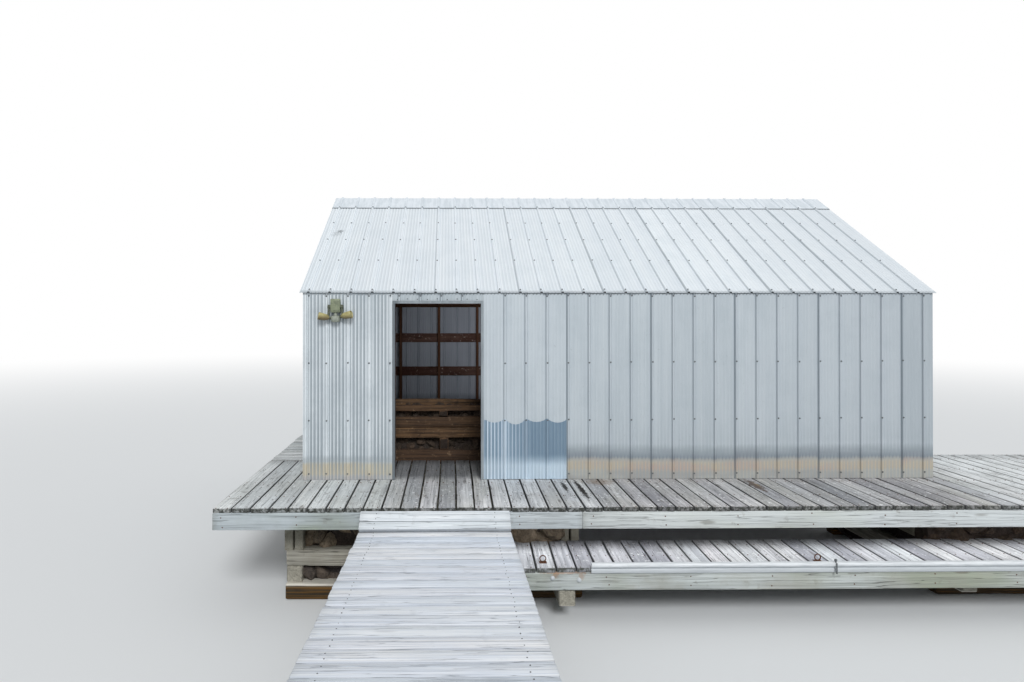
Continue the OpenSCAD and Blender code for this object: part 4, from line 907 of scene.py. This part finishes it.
inside = deckSlab[0][:, 0] < length
insideSlab, outsideSlab = ([corners[which] for corners in deckSlab] for which in (inside, ~inside))
stringers = [0.804, 1.772]  # no nails show over the middle one
flapWay = np.array([0, -math.sin(flap["angle"]), math.cos(flap["angle"])])
makePiece("dock_nails", joinShapes([placeHeads(nails, outward, nailRings) for nails, outward in (
    (leaning(boardNails(deckSlab, 0, [-0.931, -0.581, -0.104], 20)), up),
    (leaning(boardNails(insideSlab, 0, [0.373, 0.851], 21)), up),
    (boardNails(outsideSlab, 0, [0.373, 0.851, 1.061], 22), up),
    (lowerLeaning(boardNails(lowerSlab, 0, [-1.127, -0.875, -0.621], 23, top=lowerDock["top"])), up),
    (fasciaNails(-0.46, 0.608, 15, deck["front"], [-0.068, -0.146], 30), front),
    (fasciaNails(2.0, 0.66, 10, lowerDock["face"], [-0.50, -0.565], 31), front))]), rustySteel)
makePiece("gangway_nails", joinShapes([
    placeHeads(onGangway(boardNails(gangSlab, 1, stringers, 24, 0.036)), up, smallRings),
    placeHeads(onFlap(boardNails(flapSlab, 1, stringers, 25, 0.024)), flapWay, smallRings),
]), screwSteel)
strapEnd = [(6, -6), (6, 8), (11, 10), (12, 18), (8, 26), (2, 28)]
makePiece("bumper_strap", joinShapes([
    plainBar([4.470, -1.1865, -0.470], [4.481, -1.1800, -0.386], 0.001, 0.1, 5),
    placeHeads([[4.4755, -1.168, -0.384]], up, strapEnd, 12)]), screwSteel)
boltRings = [(19, -2), (19, 3), (15, 9), (7, 12)]
bolts = [[2.221, lowerDock["face"], -0.505], [2.432, lowerDock["face"], -0.522]]
makePiece("fascia_bolts", placeHeads(bolts, front, boltRings, 12), bumperVinyl)
print("lamp, bumper and nails placed")

# focal length and shift in pixels of the picture, which is 1024 wide
view = {"place": (1.393, -6.566, 1.595), "turn": -0.81, "pitch": 0.23, "focal": 683, "shift": (54.1, -30.2),
        "wide": 1024, "sensor": 36}
camera = addObject("camera", bpy.data.cameras.new("camera"))
camera.location = origin + view["place"]
camera.rotation_euler = (math.radians(90 + view["pitch"]), 0, math.radians(view["turn"]))
camera.data.lens, camera.data.sensor_width = view["focal"] / view["wide"] * view["sensor"], view["sensor"]
camera.data.shift_x, camera.data.shift_y = (pixels / view["wide"] for pixels in view["shift"])
camera.data.clip_end = 900
bpy.context.scene.camera = camera
bpy.context.scene.view_settings.view_transform = "Standard"

light = {"sky": 0.50, "key": 1.85, "keyTurn": (55, 0, 8), "keySoft": 18, "floorSeen": "#E9ECEE",
         "floorLit": "#BCC0C3", "fadeFrom": 9.0, "fadeTo": 40.0, "floorReach": 300}
# weak soft lamps that the camera doesn't see: power, place, turn, width and height, spread, colour;
# one lights the back wall through the doorway, one under the deck's edge lights the lower dock
softLamps = {"inside": (9.6, (1.9, 0.5, 1.45), (90, 0, -8), (1.2, 0.4), 85, (0.95, 0.92, 1.0)),
             "under": (6.0, (5.1, -0.80, -0.19), (0, 0, 0), (6.6, 0.1), 170, (1, 1, 1))}


def seenRay(tree):
    # 1 for rays from the camera and through gloss or glass, 0 for the light that falls on the object
    seen, path = 0, addNode(tree, "LightPath")
    for ray in ("Is Camera Ray", "Is Glossy Ray", "Is Transmission Ray"):
        seen = addNode(tree, "Math", (path.outputs[ray], seen), operation="MAXIMUM")
    return seen


sky = bpy.data.worlds.new("studio")
sky.use_nodes = True
bpy.context.scene.world = sky
tree = sky.node_tree
tree.nodes.clear()
strength = addNode(tree, "MapRange", (seenRay(tree), 0, 1, light["sky"], 1))
addNode(tree, "OutputWorld", (addNode(tree, "Background", ((1, 1, 1, 1), strength)),))
key = addObject("key", bpy.data.lights.new("key", "SUN"))
key.data.energy, key.data.angle = light["key"], math.radians(light["keySoft"])
key.rotation_euler = np.radians(light["keyTurn"])
for name, (power, place, turn, size, spread, colour) in softLamps.items():
    soft = addObject(name, bpy.data.lights.new(name, "AREA"))
    soft.data.shape, soft.data.energy, soft.data.spread = "RECTANGLE", power, math.radians(spread)
    (soft.data.size, soft.data.size_y), soft.data.color = size, colour
    soft.location, soft.rotation_euler = origin + place, np.radians(turn)
    soft.visible_camera = soft.visible_glossy = False

# Matt pale floor under the feet; far off it fades to the white of the background
floorPaint, tree = newMaterial("floorPale")
seen = seenRay(tree)
distance = addNode(tree, "VectorMath", (readPoint(tree)[0],), operation="LENGTH").outputs["Value"]
far = addNode(tree, "MapRange", (distance, light["fadeFrom"], light["fadeTo"]), interpolation_type="SMOOTHSTEP")
near = addNode(tree, "BsdfDiffuse", (layColours(tree, light["floorLit"], [(seen, light["floorSeen"], 1.0)]),))
glow = addNode(tree, "Emission", ((1, 1, 1, 1), 1.0))
amount = addNode(tree, "Math", (seen, far), operation="MULTIPLY")
addNode(tree, "OutputMaterial", (addNode(tree, "MixShader", (amount, near, glow)),))
floorMesh = bpy.data.meshes.new("floor")
corners = [(x, y, 0) for x, y in np.array([(-1, -1), (1, -1), (1, 1), (-1, 1)]) * light["floorReach"]]
floorMesh.from_pydata(corners, [], [(0, 1, 2, 3)])
floorMesh.materials.append(floorPaint)
addObject("floor", floorMesh)
print("stage set")
